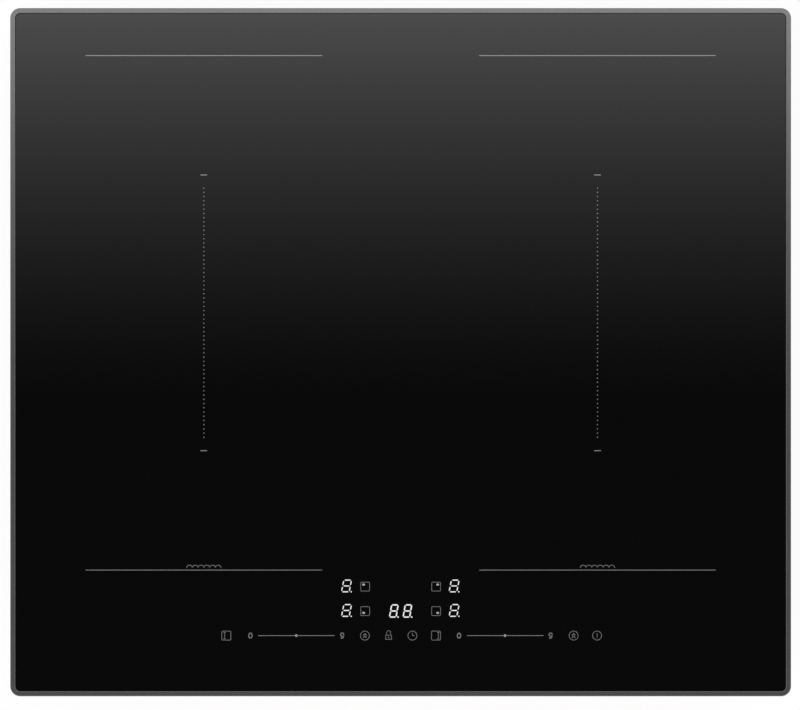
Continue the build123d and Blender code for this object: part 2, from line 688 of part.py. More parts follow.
def temperature_sensors(sign):
    """Rubber-footed sensors that stand in the eye of each coil and touch the glass."""
    sensors = []
    waist_low, waist_high = TRAY_TOP + SENSOR_CAP_T, GLASS_LOW - SENSOR_CAP_T
    for cx, cy in coil_centres(sign).values():
        sensor = post(SENSOR_STEM_R, waist_low, waist_high, cx, cy)
        sensor += post(SENSOR_FOOT_R, TRAY_TOP, waist_low, cx, cy)
        sensors.append(sensor + post(SENSOR_CAP_R, waist_high, GLASS_LOW, cx, cy))
    return group(sensors)


def spring_places(sign):
    return [
        (sign * ZONE_X + sx * RAIL_OFFSET, ZONE_Y + sy * SPRING_REACH)
        for sx in (-1, 1)
        for sy in (-1, 0, 1)
    ]


def coil_springs(sign):
    """Compression springs between the rails and a coil tray."""
    low = RAIL_TOP + SPRING_WIRE_R + SPRING_SEAT
    high = TRAY_LOW - SPRING_WIRE_R - SPRING_SEAT
    helix = Helix((high - low) / SPRING_TURNS, high - low, SPRING_R)
    wire = sweep(Plane(helix @ 0, z_dir=helix % 0) * Circle(SPRING_WIRE_R), helix)
    return group([Pos(x, y, low) * wire for x, y in spring_places(sign)])


# ---------------------------------------------------------------- circuit boards and their parts
def board_outlines():
    """{name: (centre x, centre y, size x, size y)} of the boards on the case floor."""
    boards = {
        f"power_board_{side}": (sign * POWER_CENTRE_X, POWER_CENTRE_Y, POWER_X, POWER_Y)
        for side, sign in SIDES.items()
    }
    boards["filter_board"] = (FILTER_CENTRE_X, FILTER_CENTRE_Y, FILTER_X, FILTER_Y)
    return boards


def board_corners(x, y, size_x, size_y):
    reach_x, reach_y = size_x / 2 - SPACER_INSET, size_y / 2 - SPACER_INSET
    return [(x + sx * reach_x, y + sy * reach_y) for sx in (-1, 1) for sy in (-1, 1)]


def circuit_board(x, y, size_x, size_y):
    board = slab(size_x, size_y, BOARD_LOW, BOARD_TOP, BOARD_R, x, y)
    corners = board_corners(x, y, size_x, size_y)
    return board - [post(BOARD_HOLE_R, BOARD_LOW, BOARD_TOP, cx, cy) for cx, cy in corners]


def board_spacers():
    """Snap-in nylon posts that stand on the case floor and carry the boards."""
    spacers = []
    for outline in board_outlines().values():
        for cx, cy in board_corners(*outline):
            spacer = post(SPACER_R, FLOOR_Z, BOARD_LOW, cx, cy)
            spacer += post(SPACER_PIN_R, BOARD_LOW, BOARD_TOP, cx, cy)
            head = post(SPACER_HEAD_R, BOARD_TOP, BOARD_TOP + SPACER_HEAD_H, cx, cy)
            spacers.append(spacer + chamfer(head.edges().sort_by(Axis.Z)[-1], SPACER_HEAD_H / 2))
    return group(spacers)


def heatsink(sign):
    """An aluminium extrusion with upright fins, in line with its blower's outlet."""
    x = sign * SINK_X
    fin_pitch = (SINK_W - SINK_FIN_T) / (SINK_FINS - 1)
    sink = slab(SINK_W, SINK_L, BOARD_TOP, BOARD_TOP + SINK_BASE, x=x, y=SINK_Y)
    for n in range(SINK_FINS):
        fin_x = x - SINK_W / 2 + SINK_FIN_T / 2 + n * fin_pitch
        sink += slab(SINK_FIN_T, SINK_L, BOARD_TOP, SINK_TOP, x=fin_x, y=SINK_Y)
    return sink


def part_box(x, y, size):
    box = slab(size[0], size[1], BOARD_TOP, BOARD_TOP + size[2], x=x, y=y)
    return chamfer(box.faces().sort_by(Axis.Z)[-1].edges(), PART_EDGE)


def part_can(x, y, radius, height):
    can = post(radius, BOARD_TOP, BOARD_TOP + height, x, y)
    return chamfer(can.edges().sort_by(Axis.Z)[-1], PART_EDGE)


def part_toroid(x, y):
    ring = post(TOROID_R, BOARD_TOP, BOARD_TOP + TOROID_H, x, y)
    ring -= post(TOROID_HOLE_R, BOARD_TOP, BOARD_TOP + TOROID_H, x, y)
    return fillet(ring.edges().filter_by(GeomType.CIRCLE), 2 * PART_EDGE)


def columns(start, gap, widths):
    """Centres of columns of parts side by side from a start, with a gap before each."""
    centres = []
    for width in widths:
        centres.append(start + gap + width / 2)
        start += gap + width
    return centres


def even_columns(start, end, widths):
    """Centres of columns of parts with equal gaps between two edges."""
    return columns(start, (end - start - sum(widths)) / (len(widths) + 1), widths)


def power_parts(sign):
    """The tall parts of a power board, in columns outward from the heatsink."""
    inner = SINK_X + SINK_W / 2
    transistor = (TRANSISTOR_T, TRANSISTOR_W, TRANSISTOR_H)
    parts = [
        part_box(sign * (inner + TRANSISTOR_T / 2), POWER_CENTRE_Y + y, transistor)
        for y in spread(TRANSISTOR_COUNT, TRANSISTOR_PITCH)
    ]
    outer = inner + TRANSISTOR_T
    widths = (RESONANT_CAPACITOR[0], BUS_CAPACITOR[0], BUS_CAPACITOR[0], 2 * CAN_R)
    resonant_x, first_x, second_x, can_x = columns(outer, PART_GAP, widths)
    for y in (POWER_CENTRE_Y - PART_ROW, POWER_CENTRE_Y + PART_ROW):
        parts.append(part_box(sign * resonant_x, y, RESONANT_CAPACITOR))
        parts += [part_box(sign * x, y, BUS_CAPACITOR) for x in (first_x, second_x)]
        parts.append(part_can(sign * can_x, y, CAN_R, CAN_H))
    widths = (2 * TOROID_R, RELAY[0], PLUG_SOCKET[0])
    toroid_x, relay_x, socket_x = columns(outer, PART_GAP, widths)
    parts.append(part_toroid(sign * toroid_x, POWER_CENTRE_Y))
    parts.append(part_box(sign * relay_x, POWER_CENTRE_Y, RELAY))
    for y in spread(SOCKET_COUNT, SOCKET_PITCH):
        parts.append(part_box(sign * socket_x, POWER_CENTRE_Y + y, PLUG_SOCKET))
    return group(parts)


def filter_parts():
    """Chokes, capacitors, fuse and relay of the mains filter."""
    rear_y, front_y = FILTER_CENTRE_Y + FILTER_REAR_ROW, FILTER_CENTRE_Y - FILTER_FRONT_ROW
    left, right = FILTER_CENTRE_X - FILTER_X / 2, FILTER_CENTRE_X + FILTER_X / 2
    rear_widths = (2 * TOROID_R, 2 * TOROID_R, TALL_FILM[0])
    front_widths = (2 * VARISTOR_R, SMALL_RELAY[0], FUSE_HOLDER[0], WIDE_FILM[0])
    socket_right = MAINS_SOCKET_X + MAINS_SOCKET[0] / 2
    first_x, second_x, tall_x = even_columns(socket_right, right, rear_widths)
    varistor_x, relay_x, fuse_x, wide_x = even_columns(left, right, front_widths)
    parts = [
        part_box(MAINS_SOCKET_X, MAINS_SOCKET_Y, MAINS_SOCKET),
        part_toroid(first_x, rear_y),
        part_toroid(second_x, rear_y),
        part_box(tall_x, rear_y, TALL_FILM),
        part_can(varistor_x, front_y, VARISTOR_R, VARISTOR_H),
        part_box(relay_x, front_y, SMALL_RELAY),
        part_box(fuse_x, front_y, FUSE_HOLDER),
        part_box(wide_x, front_y, WIDE_FILM),
    ]
    return group(parts)


# ---------------------------------------------------------------- blowers
def blower_outline(x, side_x, grow=0.0):
    """Scroll of a blower in plan: a round chamber with a straight outlet towards the front."""
    chamber = Pos(x, BLOWER_Y) * Circle(BLOWER_R + grow)
    outlet = Pos(side_x, BLOWER_Y - OUTLET_LENGTH / 2)
    return chamber + outlet * Rectangle(OUTLET_W + 2 * grow, OUTLET_LENGTH)


def blower_ears(sign):
    """Centres of the screw ears on the rear half of a blower's chamber."""
    reach = BLOWER_R + BLOWER_WALL + SCREW_HEAD_R + EAR_GAP
    across, back = reach * sin(radians(EAR_ANGLE)), reach * cos(radians(EAR_ANGLE))
    return [(sign * BLOWER_X + side * across, BLOWER_Y + back) for side in (-1, 1)]


def ear_top():
    """The ears are as high as leaves a screw's end flush with the case's underside."""
    return FOOT_H + SCREW_LENGTH


def blower_housing(sign):
    """Open-topped scroll with the air inlet in its floor."""
    x, outlet_x = sign * BLOWER_X, sign * OUTLET_X
    outline = blower_outline(x, outlet_x, BLOWER_WALL)
    shell = extrude(Pos(0, 0, FLOOR_Z) * outline, BLOWER_H - BLOWER_LID_T)
    shell += [post(EAR_R, FLOOR_Z, ear_top(), *ear) for ear in blower_ears(sign)]
    shell -= extrude(Pos(0, 0, BLOWER_FLOOR_TOP) * blower_outline(x, outlet_x), BLOWER_H)
    shell -= [post(SCREW_R + SCREW_SLACK, FLOOR_Z, ear_top(), *ear) for ear in blower_ears(sign)]
    return shell - post(BLOWER_INLET_R, FLOOR_Z, BLOWER_FLOOR_TOP, x, BLOWER_Y)


def wheel_levels():
    """Lowest point of the wheel's blades and the underside of its disc."""
    low = BLOWER_FLOOR_TOP + WHEEL_GAP
    return low, BLOWER_LID_LOW - WHEEL_GAP - WHEEL_DISC_T


def blower_lid(sign):
    """Flat lid with the bearing tube that hangs into the wheel's hub."""
    x = sign * BLOWER_X
    plate = Pos(0, 0, BLOWER_LID_LOW) * blower_outline(x, sign * OUTLET_X, BLOWER_WALL)
    tube_low = wheel_levels()[0] + 2 * WHEEL_DISC_T + WHEEL_GAP
    lid = extrude(plate, BLOWER_LID_T) + post(BEARING_R, tube_low, BLOWER_LID_LOW, x, BLOWER_Y)
    return lid - post(SHAFT_R + SHAFT_SLACK, tube_low, BLOWER_TOP, x, BLOWER_Y)


def blower_stator(sign):
    """Motor core on the bearing tube: a ring with straight poles."""
    x = sign * BLOWER_X
    middle = (wheel_levels()[0] + BLOWER_LID_LOW) / 2
    low, high = middle - STATOR_T / 2, middle + STATOR_T / 2
    core = post(BEARING_R + STATOR_RING, low, high, x, BLOWER_Y)
    shoe_x = STATOR_R - STATOR_SHOE_T / 2
    for n in range(STATOR_POLES):
        turn = Location((x, BLOWER_Y, 0), (0, 0, 360 * n / STATOR_POLES))
        core += turn * slab(shoe_x, STATOR_POLE_W, low, high, x=shoe_x / 2)
        core += turn * slab(STATOR_SHOE_T, STATOR_SHOE_W, low, high, x=shoe_x)
    return core - post(BEARING_R + SHAFT_SLACK, low, high, x, BLOWER_Y)


def blower_impeller(sign):
    """Wheel with curved blades, motor cup and shaft in one."""
    x = sign * BLOWER_X
    low, disc_low = wheel_levels()
    disc_top = disc_low + WHEEL_DISC_T
    cup_floor = low + WHEEL_DISC_T
    wheel = post(WHEEL_R, disc_low, disc_top) + post(WHEEL_CUP_R, low, disc_top)
    wheel -= post(WHEEL_CUP_R - WHEEL_CUP_WALL, cup_floor, disc_top + OVERCUT)
    wheel += post(WHEEL_R, low, cup_floor) - post(WHEEL_R - WHEEL_RING_W, low, cup_floor)
    chord = (WHEEL_R - WHEEL_INNER_R) * WHEEL_BLADE_STRETCH
    middle_r = (WHEEL_R + WHEEL_INNER_R) / 2 - WHEEL_BLADE_INSET
    for n in range(WHEEL_BLADES):
        turn = Rot(0, 0, 360 * n / WHEEL_BLADES) * Pos(middle_r, 0, 0) * Rot(0, 0, WHEEL_BLADE_TURN)
        wheel += turn * slab(chord, WHEEL_BLADE_T, low, disc_low + WHEEL_DISC_T / 2)
    wheel += post(SHAFT_R, low, BLOWER_LID_LOW)
    return Pos(x, BLOWER_Y, 0) * wheel


# ---------------------------------------------------------------- touch controls
def digit_places():
    """Centre and number of digits of each display."""
    places = [(sign * DIGIT_X, y, 1) for sign in (-1, 1) for y in (ROW_REAR_Y, ROW_FRONT_Y)]
    return places + [(0.0, ROW_FRONT_Y, 2)]


def key_places():
    """Centres of the touch springs: the zone keys, the function keys and the two sliders."""
    zones = [(s * ICON_X, y) for s in (-1, 1) for y in (ROW_REAR_Y, ROW_FRONT_Y)]
    keys = [(step * KEY_PITCH, KEY_ROW_Y) for step in KEY_STEPS]
    pad_pitch = SLIDER_LENGTH / (SLIDER_PADS - 1)
    for sign in (-1, 1):
        start = sign * SLIDER_X - SLIDER_LENGTH / 2
        keys += [(start + n * pad_pitch, KEY_ROW_Y) for n in range(SLIDER_PADS)]
    return zones + keys


def control_board():
    x, y = CONTROL_CENTRE_X, CONTROL_CENTRE_Y
    return slab(CONTROL_X, CONTROL_Y, CONTROL_LOW, CONTROL_TOP, CONTROL_R, x, y)


def control_tray():
    """Moulded tray that holds the control board up under the glass, on four legs."""
    x, y = CONTROL_CENTRE_X, CONTROL_CENTRE_Y
    floor = CONTROL_TRAY_LOW + TRAY_WALL
    pocket_x, pocket_y = CONTROL_X + 2 * TRAY_SLACK, CONTROL_Y + 2 * TRAY_SLACK
    size_x, size_y = pocket_x + 2 * TRAY_WALL, pocket_y + 2 * TRAY_WALL
    tray = slab(size_x, size_y, CONTROL_TRAY_LOW, CONTROL_TOP, CONTROL_R + TRAY_WALL, x, y)
    tray -= slab(pocket_x, pocket_y, CONTROL_LOW, CONTROL_TOP, CONTROL_R, x, y)
    hollow_x, hollow_y = CONTROL_X - 2 * TRAY_LEDGE, CONTROL_Y - 2 * TRAY_LEDGE
    tray -= slab(hollow_x, hollow_y, floor, CONTROL_LOW, CONTROL_R, x, y)
    rear = y + size_y / 2
    notch_y = 2 * (TRAY_WALL + TRAY_SLACK + TRAY_LEDGE)
    tray -= slab(RIBBON_PLUG[0], notch_y, floor, CONTROL_TOP, x=RIBBON_X, y=rear)
    for rail_x in (RAIL_OFFSET - ZONE_X, ZONE_X - RAIL_OFFSET):
        for leg_y in (rear - LEG_Y / 2, rear - size_y + LEG_Y / 2):
            tray += slab(LEG_X, LEG_Y, RAIL_TOP, floor, x=rail_x, y=leg_y)
    return tray


def touch_springs():
    """Conductive springs that carry each key's touch from the glass to the board, as sleeves."""
    springs = []
    for x, y in key_places():
        sleeve = post(TOUCH_SPRING_R, CONTROL_TOP, GLASS_LOW, x, y)
        inner = TOUCH_SPRING_R - TOUCH_SPRING_WALL
        springs.append(sleeve - post(inner, CONTROL_TOP + TOUCH_SPRING_WALL, GLASS_LOW, x, y))
    return group(springs)


def display_modules():
    modules = []
    for x, y, digits in digit_places():
        width = DIGIT_W + (digits - 1) * 2 * TIMER_DIGIT_X
        block = slab(width, DIGIT_L, CONTROL_TOP, CONTROL_TOP + DIGIT_H, x=x, y=y)
        modules.append(chamfer(block.faces().sort_by(Axis.Z)[-1].edges(), PART_EDGE / 2))
    return group(modules)


# ---------------------------------------------------------------- mains terminals
def hinge_span():
    """Left and right ends of the terminal cover between its ears."""
    half = WINDOW_W / 2 - HINGE_EAR_W
    return TERMINAL_X - half, TERMINAL_X + half


def terminal_box():
    """Plastic box behind the window in the rear wall, with two hinge ears that pass through it."""
    wall_y = PAN_REAR - SHEET
    box = slab(BOX_W, BOX_DEPTH, BOX_LOW, BOX_HIGH, x=TERMINAL_X, y=BOX_Y)
    inner_w, inner_y = BOX_W - 2 * BOX_WALL, BOX_Y + BOX_WALL
    box -= slab(inner_w, BOX_DEPTH, BLOCK_LOW, BOX_HIGH - BOX_WALL, x=TERMINAL_X, y=inner_y)
    ear_low, ear_high = HINGE_Z - KNUCKLE_R, HINGE_Z + KNUCKLE_R
    ear_end = HINGE_Y + KNUCKLE_R
    ear_length, ear_y = ear_end - wall_y + BOX_WALL, (ear_end + wall_y - BOX_WALL) / 2
    for end, outward in zip(hinge_span(), (-1, 1)):
        ear_x = end + outward * HINGE_EAR_W / 2
        box += slab(HINGE_EAR_W - WINDOW_SLACK, ear_length, ear_low, ear_high, x=ear_x, y=ear_y)
        root_x, root_y = ear_x + outward * BOX_WALL / 2, wall_y - BOX_WALL / 2
        box += slab(HINGE_EAR_W + BOX_WALL, BOX_WALL, ear_low, BOX_HIGH, x=root_x, y=root_y)
    pin_hole = Cylinder(HINGE_PIN_R + HINGE_SLACK, WINDOW_W, rotation=(0, 90, 0))
    lead_hole = Cylinder(LEAD_R + LEAD_SLACK, 2 * BOX_WALL, rotation=(0, 90, 0))
    side = TERMINAL_X + BOX_W / 2 - BOX_WALL / 2
    box -= [Pos(side, y, LEAD_Z) * lead_hole for y in terminal_lead_ys()]
    return box - Pos(TERMINAL_X, HINGE_Y, HINGE_Z) * pin_hole


def terminal_block():
    """Screw terminal block on the floor of its box."""
    top = BLOCK_LOW + BLOCK_H
    block = slab(BLOCK_W, BLOCK_D, BLOCK_LOW, top, x=TERMINAL_X, y=BOX_Y)
    pitch = BLOCK_W / BLOCK_WAYS
    bore_r = (pitch - BLOCK_WEB) / 2
    bore_low, mouth_high = top - BLOCK_BORE, top - BLOCK_BORE - BLOCK_WEB
    screws = []
    for step in spread(BLOCK_WAYS, pitch):
        x, mouth_y = TERMINAL_X + step, BOX_Y + BLOCK_D / 2
        block -= slab(pitch - BLOCK_WEB, BLOCK_D / 2, BLOCK_LOW + BLOCK_WEB, mouth_high, x=x, y=mouth_y)
        block -= post(bore_r, bore_low, top, x, BOX_Y)
        head = post(bore_r - BLOCK_SCREW_GAP, bore_low, bore_low + BLOCK_SCREW_H, x, BOX_Y)
        slot = slab(2 * bore_r, BLOCK_SLOT, top - BLOCK_BORE / 2, top, x=x, y=BOX_Y)
        screws.append(head - slot)
    return group([block, *screws])


def terminal_cover():
    """Flap over the terminal window, with stub pins that turn in the box's ears."""
    left, right = hinge_span()
    width = right - left - 2 * COVER_SLACK
    low, middle_y = WINDOW_LOW - COVER_LAP, PAN_REAR + COVER_SEAT + COVER_T / 2
    cover = slab(width, COVER_T, low, HINGE_Z, x=TERMINAL_X, y=middle_y)
    pull_y = middle_y + (COVER_T + COVER_PULL) / 2
    cover += slab(COVER_PULL_W, COVER_PULL, low, low + COVER_T, x=TERMINAL_X, y=pull_y)
    rib_y = middle_y + (COVER_T + COVER_RIB) / 2
    for x in (left + COVER_RIB_INSET, right - COVER_RIB_INSET):
        cover += slab(COVER_T, COVER_RIB, low, HINGE_Z, x=x, y=rib_y)
    hinge = Pos(TERMINAL_X, HINGE_Y, HINGE_Z)
    cover += hinge * Cylinder(KNUCKLE_R, width, rotation=(0, 90, 0))
    return cover + hinge * Cylinder(HINGE_PIN_R, WINDOW_W - 2 * COVER_SLACK, rotation=(0, 90, 0))


def cable_gland():
    """Cable entry through the rear wall: body, dome nut outside and lock nut inside."""
    tail, top = -SHEET - GLAND_TAIL, GLAND_FLANGE_T + GLAND_DOME_T
    insert_r, insert_top = GLAND_THREAD_R - GLAND_WALL, top - GLAND_WALL
    bore = post(GLAND_BORE_R, tail, top)
    body = hexagon(GLAND_HEX, 0, GLAND_FLANGE_T) + post(GLAND_THREAD_R, tail, 0)
    body += post(insert_r, GLAND_FLANGE_T, insert_top)
    dome = hexagon(GLAND_HEX, GLAND_FLANGE_T, top)
    dome = chamfer(dome.faces().sort_by(Axis.Z)[-1].edges(), GLAND_WALL)
    dome -= post(insert_r, GLAND_FLANGE_T, insert_top)
    nut = hexagon(GLAND_HEX, -SHEET - GLAND_NUT_T, -SHEET)
    nut -= post(GLAND_THREAD_R, -SHEET - GLAND_NUT_T, -SHEET)
    at = Location((GLAND_X, PAN_REAR, GLAND_Z), (-90, 0, 0))
    return group([at * (body - bore), at * (dome - bore), at * nut])


# ---------------------------------------------------------------- worktop clamps
def clamp_arm(x, y, along):
    """A folded steel arm that pivots under the case's step; stowed, it points along the side."""
    web_y = y + along * (CLAMP_PLATE_R + CLAMP_T / 2)
    tip_y = y + along * CLAMP_REACH
    plate = post(CLAMP_PLATE_R, CLAMP_TOP - CLAMP_T, CLAMP_TOP, x, y)
    neck = CLAMP_PLATE_R + CLAMP_T
    plate += slab(CLAMP_ARM_W, neck, CLAMP_TOP - CLAMP_T, CLAMP_TOP, x=x, y=y + along * neck / 2)
    arm = slab(CLAMP_ARM_W, CLAMP_T, ARM_LOW, CLAMP_TOP, x=x, y=web_y)
    length = abs(tip_y - web_y)
    arm += slab(CLAMP_ARM_W, length, ARM_LOW, ARM_TOP, x=x, y=(tip_y + web_y) / 2)
    arm += post(CLAMP_ARM_W / 2, ARM_LOW, ARM_TOP, x, tip_y)
    arm += post(BOSS_R, ARM_TOP, BOSS_TOP, x, tip_y)
    holes = [
        post(PIVOT_R + PIVOT_SLACK, CLAMP_TOP - CLAMP_T, CLAMP_TOP, x, y),
        post(JACK_R + JACK_SLACK, ARM_LOW, BOSS_TOP, x, tip_y),
    ]
    return plate + arm - holes


def jack_screw(x, y, along):
    """Headless screw in a clamp arm's end, whose pad presses up on the worktop's underside."""
    pad_low = BOSS_TOP + JACK_PAD_GAP
    jack = post(JACK_R, JACK_LOW, pad_low) + post(JACK_PAD_R, pad_low, pad_low + JACK_PAD_T)
    jack -= hexagon(JACK_SOCKET, JACK_LOW, JACK_LOW + JACK_SOCKET_DEPTH)
    return Pos(x, y + along * CLAMP_REACH, 0) * jack


def clamp_pivot_screws():
    """Shoulder screws that carry the clamp arms, each with its weld nut on the step."""
    screws = []
    seat = CLAMP_TOP - CLAMP_T - CLAMP_SLACK
    one = Rot(180, 0, 0) * screw(PIVOT_R, SHELF_TOP + NUT_T - seat, PIVOT_HEAD_R, PIVOT_HEAD_H)
    for _, x, y, _ in clamp_places():
        nut = hexagon(NUT_FLATS, SHELF_TOP, SHELF_TOP + NUT_T, x, y)
        screws += [Pos(x, y, seat) * one, nut - post(PIVOT_R, SHELF_TOP, SHELF_TOP + NUT_T, x, y)]
    return group(screws)


# ---------------------------------------------------------------- wiring
def terminal_lead_ys():
    """Places of the leads along Y where they leave the terminal block."""
    return [BOX_Y + step for step in spread(LEAD_COUNT, LEAD_PITCH)]


def mains_leads():
    """Leads from the terminal block, behind the blowers, to the socket of the filter board."""
    start_x, end_x = TERMINAL_X + BLOCK_W / 2, MAINS_SOCKET_X - MAINS_SOCKET[0] / 2
    chamber = BLOWER_R + BLOWER_WALL
    corridor_y = BLOWER_Y + chamber + LEAD_CLEAR + LEAD_R
    left_x, right_x = -BLOWER_X - chamber, BLOWER_X + chamber
    leads = []
    for n, start_y in enumerate(terminal_lead_ys()):
        along_y = corridor_y + n * LEAD_PITCH
        end_y = MAINS_SOCKET_Y + spread(LEAD_COUNT, LEAD_PITCH)[n]
        path = FilletPolyline(
            (start_x, start_y, LEAD_Z),
            (left_x - LEAD_TURN / 2, start_y, LEAD_Z),
            (left_x + LEAD_TURN / 2, along_y, LEAD_Z),
            (right_x - 3 * LEAD_TURN / 2, along_y, LEAD_Z),
            (right_x, end_y, LEAD_Z),
            (end_x, end_y, LEAD_Z),
            radius=LEAD_BEND,
        )
        leads.append(sweep(Plane(path @ 0, z_dir=path % 0) * Circle(LEAD_R), path))
    return group(leads)


def control_ribbon():
    """Flat cable with a plug at each end, from the control board down to a power board."""
    plug_x, plug_y = RIBBON_PLUG
    high_z = CONTROL_LOW - RIBBON_PLUG_H + RIBBON_T
    low_z = BOARD_TOP + RIBBON_PLUG_H - RIBBON_T
    high_y = CONTROL_CENTRE_Y + CONTROL_Y / 2 - TRAY_LEDGE - plug_y
    low_y = POWER_CENTRE_Y - POWER_Y / 2 + RIBBON_LANDING
    path = FilletPolyline(
        (RIBBON_X, high_y, high_z),
        (RIBBON_X, high_y + plug_y + RIBBON_STRAIGHT, high_z),
        (RIBBON_X, low_y - RIBBON_STRAIGHT, low_z),
        (RIBBON_X, low_y, low_z),
        radius=RIBBON_BEND,
    )
    section = Plane(path @ 0, x_dir=(1, 0, 0), z_dir=path % 0) * Rectangle(RIBBON_W, RIBBON_T)
    plugs = [
        slab(plug_x, plug_y, CONTROL_LOW - RIBBON_PLUG_H, CONTROL_LOW, x=RIBBON_X, y=high_y - plug_y / 2),
        slab(plug_x, plug_y, BOARD_TOP, BOARD_TOP + RIBBON_PLUG_H, x=RIBBON_X, y=low_y + plug_y / 2),
    ]
    return group([sweep(section, path), *plugs])


def main():
    pieces = {
        "glass_panel": glass_panel(),
        "trim_frame": trim_frame(),
        "worktop_seal": worktop_seal(),
        "glass_carrier": glass_carrier(),
        "case_pan": case_pan(),
        "case_rim": case_rim(),
        "case_screws": case_screws(),
        "coil_rails": coil_rails(),
        "board_spacers": board_spacers(),
        "filter_parts": filter_parts(),
        "control_board": control_board(),
        "control_tray": control_tray(),
        "touch_springs": touch_springs(),
        "display_modules": display_modules(),
        "terminal_box": terminal_box(),
        "terminal_block": terminal_block(),
        "terminal_cover": terminal_cover(),
        "cable_gland": cable_gland(),
        "clamp_pivot_screws": clamp_pivot_screws(),
        "mains_leads": mains_leads(),
        "control_ribbon": control_ribbon(),
    }
    for name, outline in board_outlines().items():
        pieces[name] = circuit_board(*outline)
    for side, sign in SIDES.items():
        pieces[f"coil_tray_{side}"] = coil_tray(sign)
        pieces[f"coil_formers_{side}"] = coil_formers(sign)
        pieces[f"ferrite_bars_{side}"] = ferrite_bars(sign)
        pieces[f"mica_sheets_{side}"] = mica_sheets(sign)
        pieces[f"temperature_sensors_{side}"] = temperature_sensors(sign)
        pieces[f"coil_springs_{side}"] = coil_springs(sign)
        for end, (cx, cy) in coil_centres(sign).items():
            pieces[f"coil_winding_{end}_{side}"] = coil_winding(cx, cy)
        pieces[f"heatsink_{side}"] = heatsink(sign)
        pieces[f"power_parts_{side}"] = power_parts(sign)
        pieces[f"blower_housing_{side}"] = blower_housing(sign)
        pieces[f"blower_lid_{side}"] = blower_lid(sign)
        pieces[f"blower_stator_{side}"] = blower_stator(sign)
        pieces[f"blower_impeller_{side}"] = blower_impeller(sign)
    for name, x, y, step in clamp_places():
        pieces[f"clamp_arm_{name}"] = clamp_arm(x, y, -step)
        pieces[f"jack_screw_{name}"] = jack_screw(x, y, -step)

    os.makedirs("parts", exist_ok=True)
    for name, piece in pieces.items():
        export_step(piece, f"parts/{name}.step")


main()
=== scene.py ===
"""Looks of a built-in induction cooktop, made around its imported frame. All sizes are in metres."""
import json
from math import atan2, copysign, cos, hypot, radians, sin, tau

import bpy
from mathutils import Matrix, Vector


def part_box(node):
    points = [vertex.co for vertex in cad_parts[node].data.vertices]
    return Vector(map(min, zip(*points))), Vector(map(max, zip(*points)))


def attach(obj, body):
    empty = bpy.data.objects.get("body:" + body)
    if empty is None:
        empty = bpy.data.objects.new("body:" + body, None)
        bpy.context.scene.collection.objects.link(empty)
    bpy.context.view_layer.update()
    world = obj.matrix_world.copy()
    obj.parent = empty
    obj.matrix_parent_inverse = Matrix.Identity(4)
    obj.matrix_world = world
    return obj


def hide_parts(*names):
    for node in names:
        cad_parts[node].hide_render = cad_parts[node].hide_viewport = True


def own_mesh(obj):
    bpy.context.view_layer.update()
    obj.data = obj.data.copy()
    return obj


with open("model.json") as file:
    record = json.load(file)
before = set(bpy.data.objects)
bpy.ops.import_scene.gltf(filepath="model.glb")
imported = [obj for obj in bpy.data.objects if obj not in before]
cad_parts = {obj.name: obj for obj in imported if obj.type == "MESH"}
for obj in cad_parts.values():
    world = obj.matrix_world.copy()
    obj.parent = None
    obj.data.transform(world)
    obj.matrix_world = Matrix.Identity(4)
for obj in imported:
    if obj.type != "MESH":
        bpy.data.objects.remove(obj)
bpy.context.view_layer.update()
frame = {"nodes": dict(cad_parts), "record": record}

MM = 0.001
SIDES = {"left": -1, "right": 1}
ENDS = ("front", "rear")

# ---------------------------------------------------------------- places taken from the frame
glass_low, glass_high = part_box("glass_panel")
trim_low, trim_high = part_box("trim_frame")
GLASS_TOP = glass_high.z
TRIM_TOP = trim_high.z


# ---------------------------------------------------------------- outlines
def arc(x, y, radius_x, radius_y, start, end, steps=24):
    """Points on an ellipse between two angles in degrees."""
    angles = [radians(start + (end - start) * i / steps) for i in range(steps + 1)]
    return [(x + radius_x * cos(a), y + radius_y * sin(a)) for a in angles]


def ellipse(x, y, radius_x, radius_y, steps):
    return arc(x, y, radius_x, radius_y, 0, 360, steps)[:-1]


def circle(x, y, radius, steps=40):
    return ellipse(x, y, radius, radius, steps)


def rectangle(x, y, size_x, size_y):
    a, b = size_x / 2, size_y / 2
    return [(x - a, y - b), (x + a, y - b), (x + a, y + b), (x - a, y + b)]


def rounded_rectangle(x, y, size_x, size_y, radius, steps=6):
    a, b = size_x / 2 - radius, size_y / 2 - radius
    line = []
    for quarter, (sx, sy) in enumerate(((1, 1), (-1, 1), (-1, -1), (1, -1))):
        line += arc(x + sx * a, y + sy * b, radius, radius, 90 * quarter, 90 * quarter + 90, steps)
    return line


# ---------------------------------------------------------------- mesh helpers
def make_object(name, points, faces, material, body="hob", smooth=False):
    """A mesh object that rides on a body."""
    mesh = bpy.data.meshes.new(name)
    mesh.from_pydata([tuple(p) for p in points], [], [tuple(f) for f in faces])
    mesh.validate()
    mesh.update()
    mesh.materials.append(material)
    if smooth:
        mesh.polygons.foreach_set("use_smooth", [True] * len(mesh.polygons))
    piece = bpy.data.objects.new(name, mesh)
    bpy.context.scene.collection.objects.link(piece)
    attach(piece, body)
    return piece


class Pieces:
    """Meshes gathered into one."""

    def __init__(self):
        self.points, self.faces = [], []

    def add(self, points, faces):
        start = len(self.points)
        self.points += points
        self.faces += [[start + n for n in face] for face in faces]

    def build(self, name, material, smooth=False):
        return make_object(name, self.points, self.faces, material, smooth=smooth)


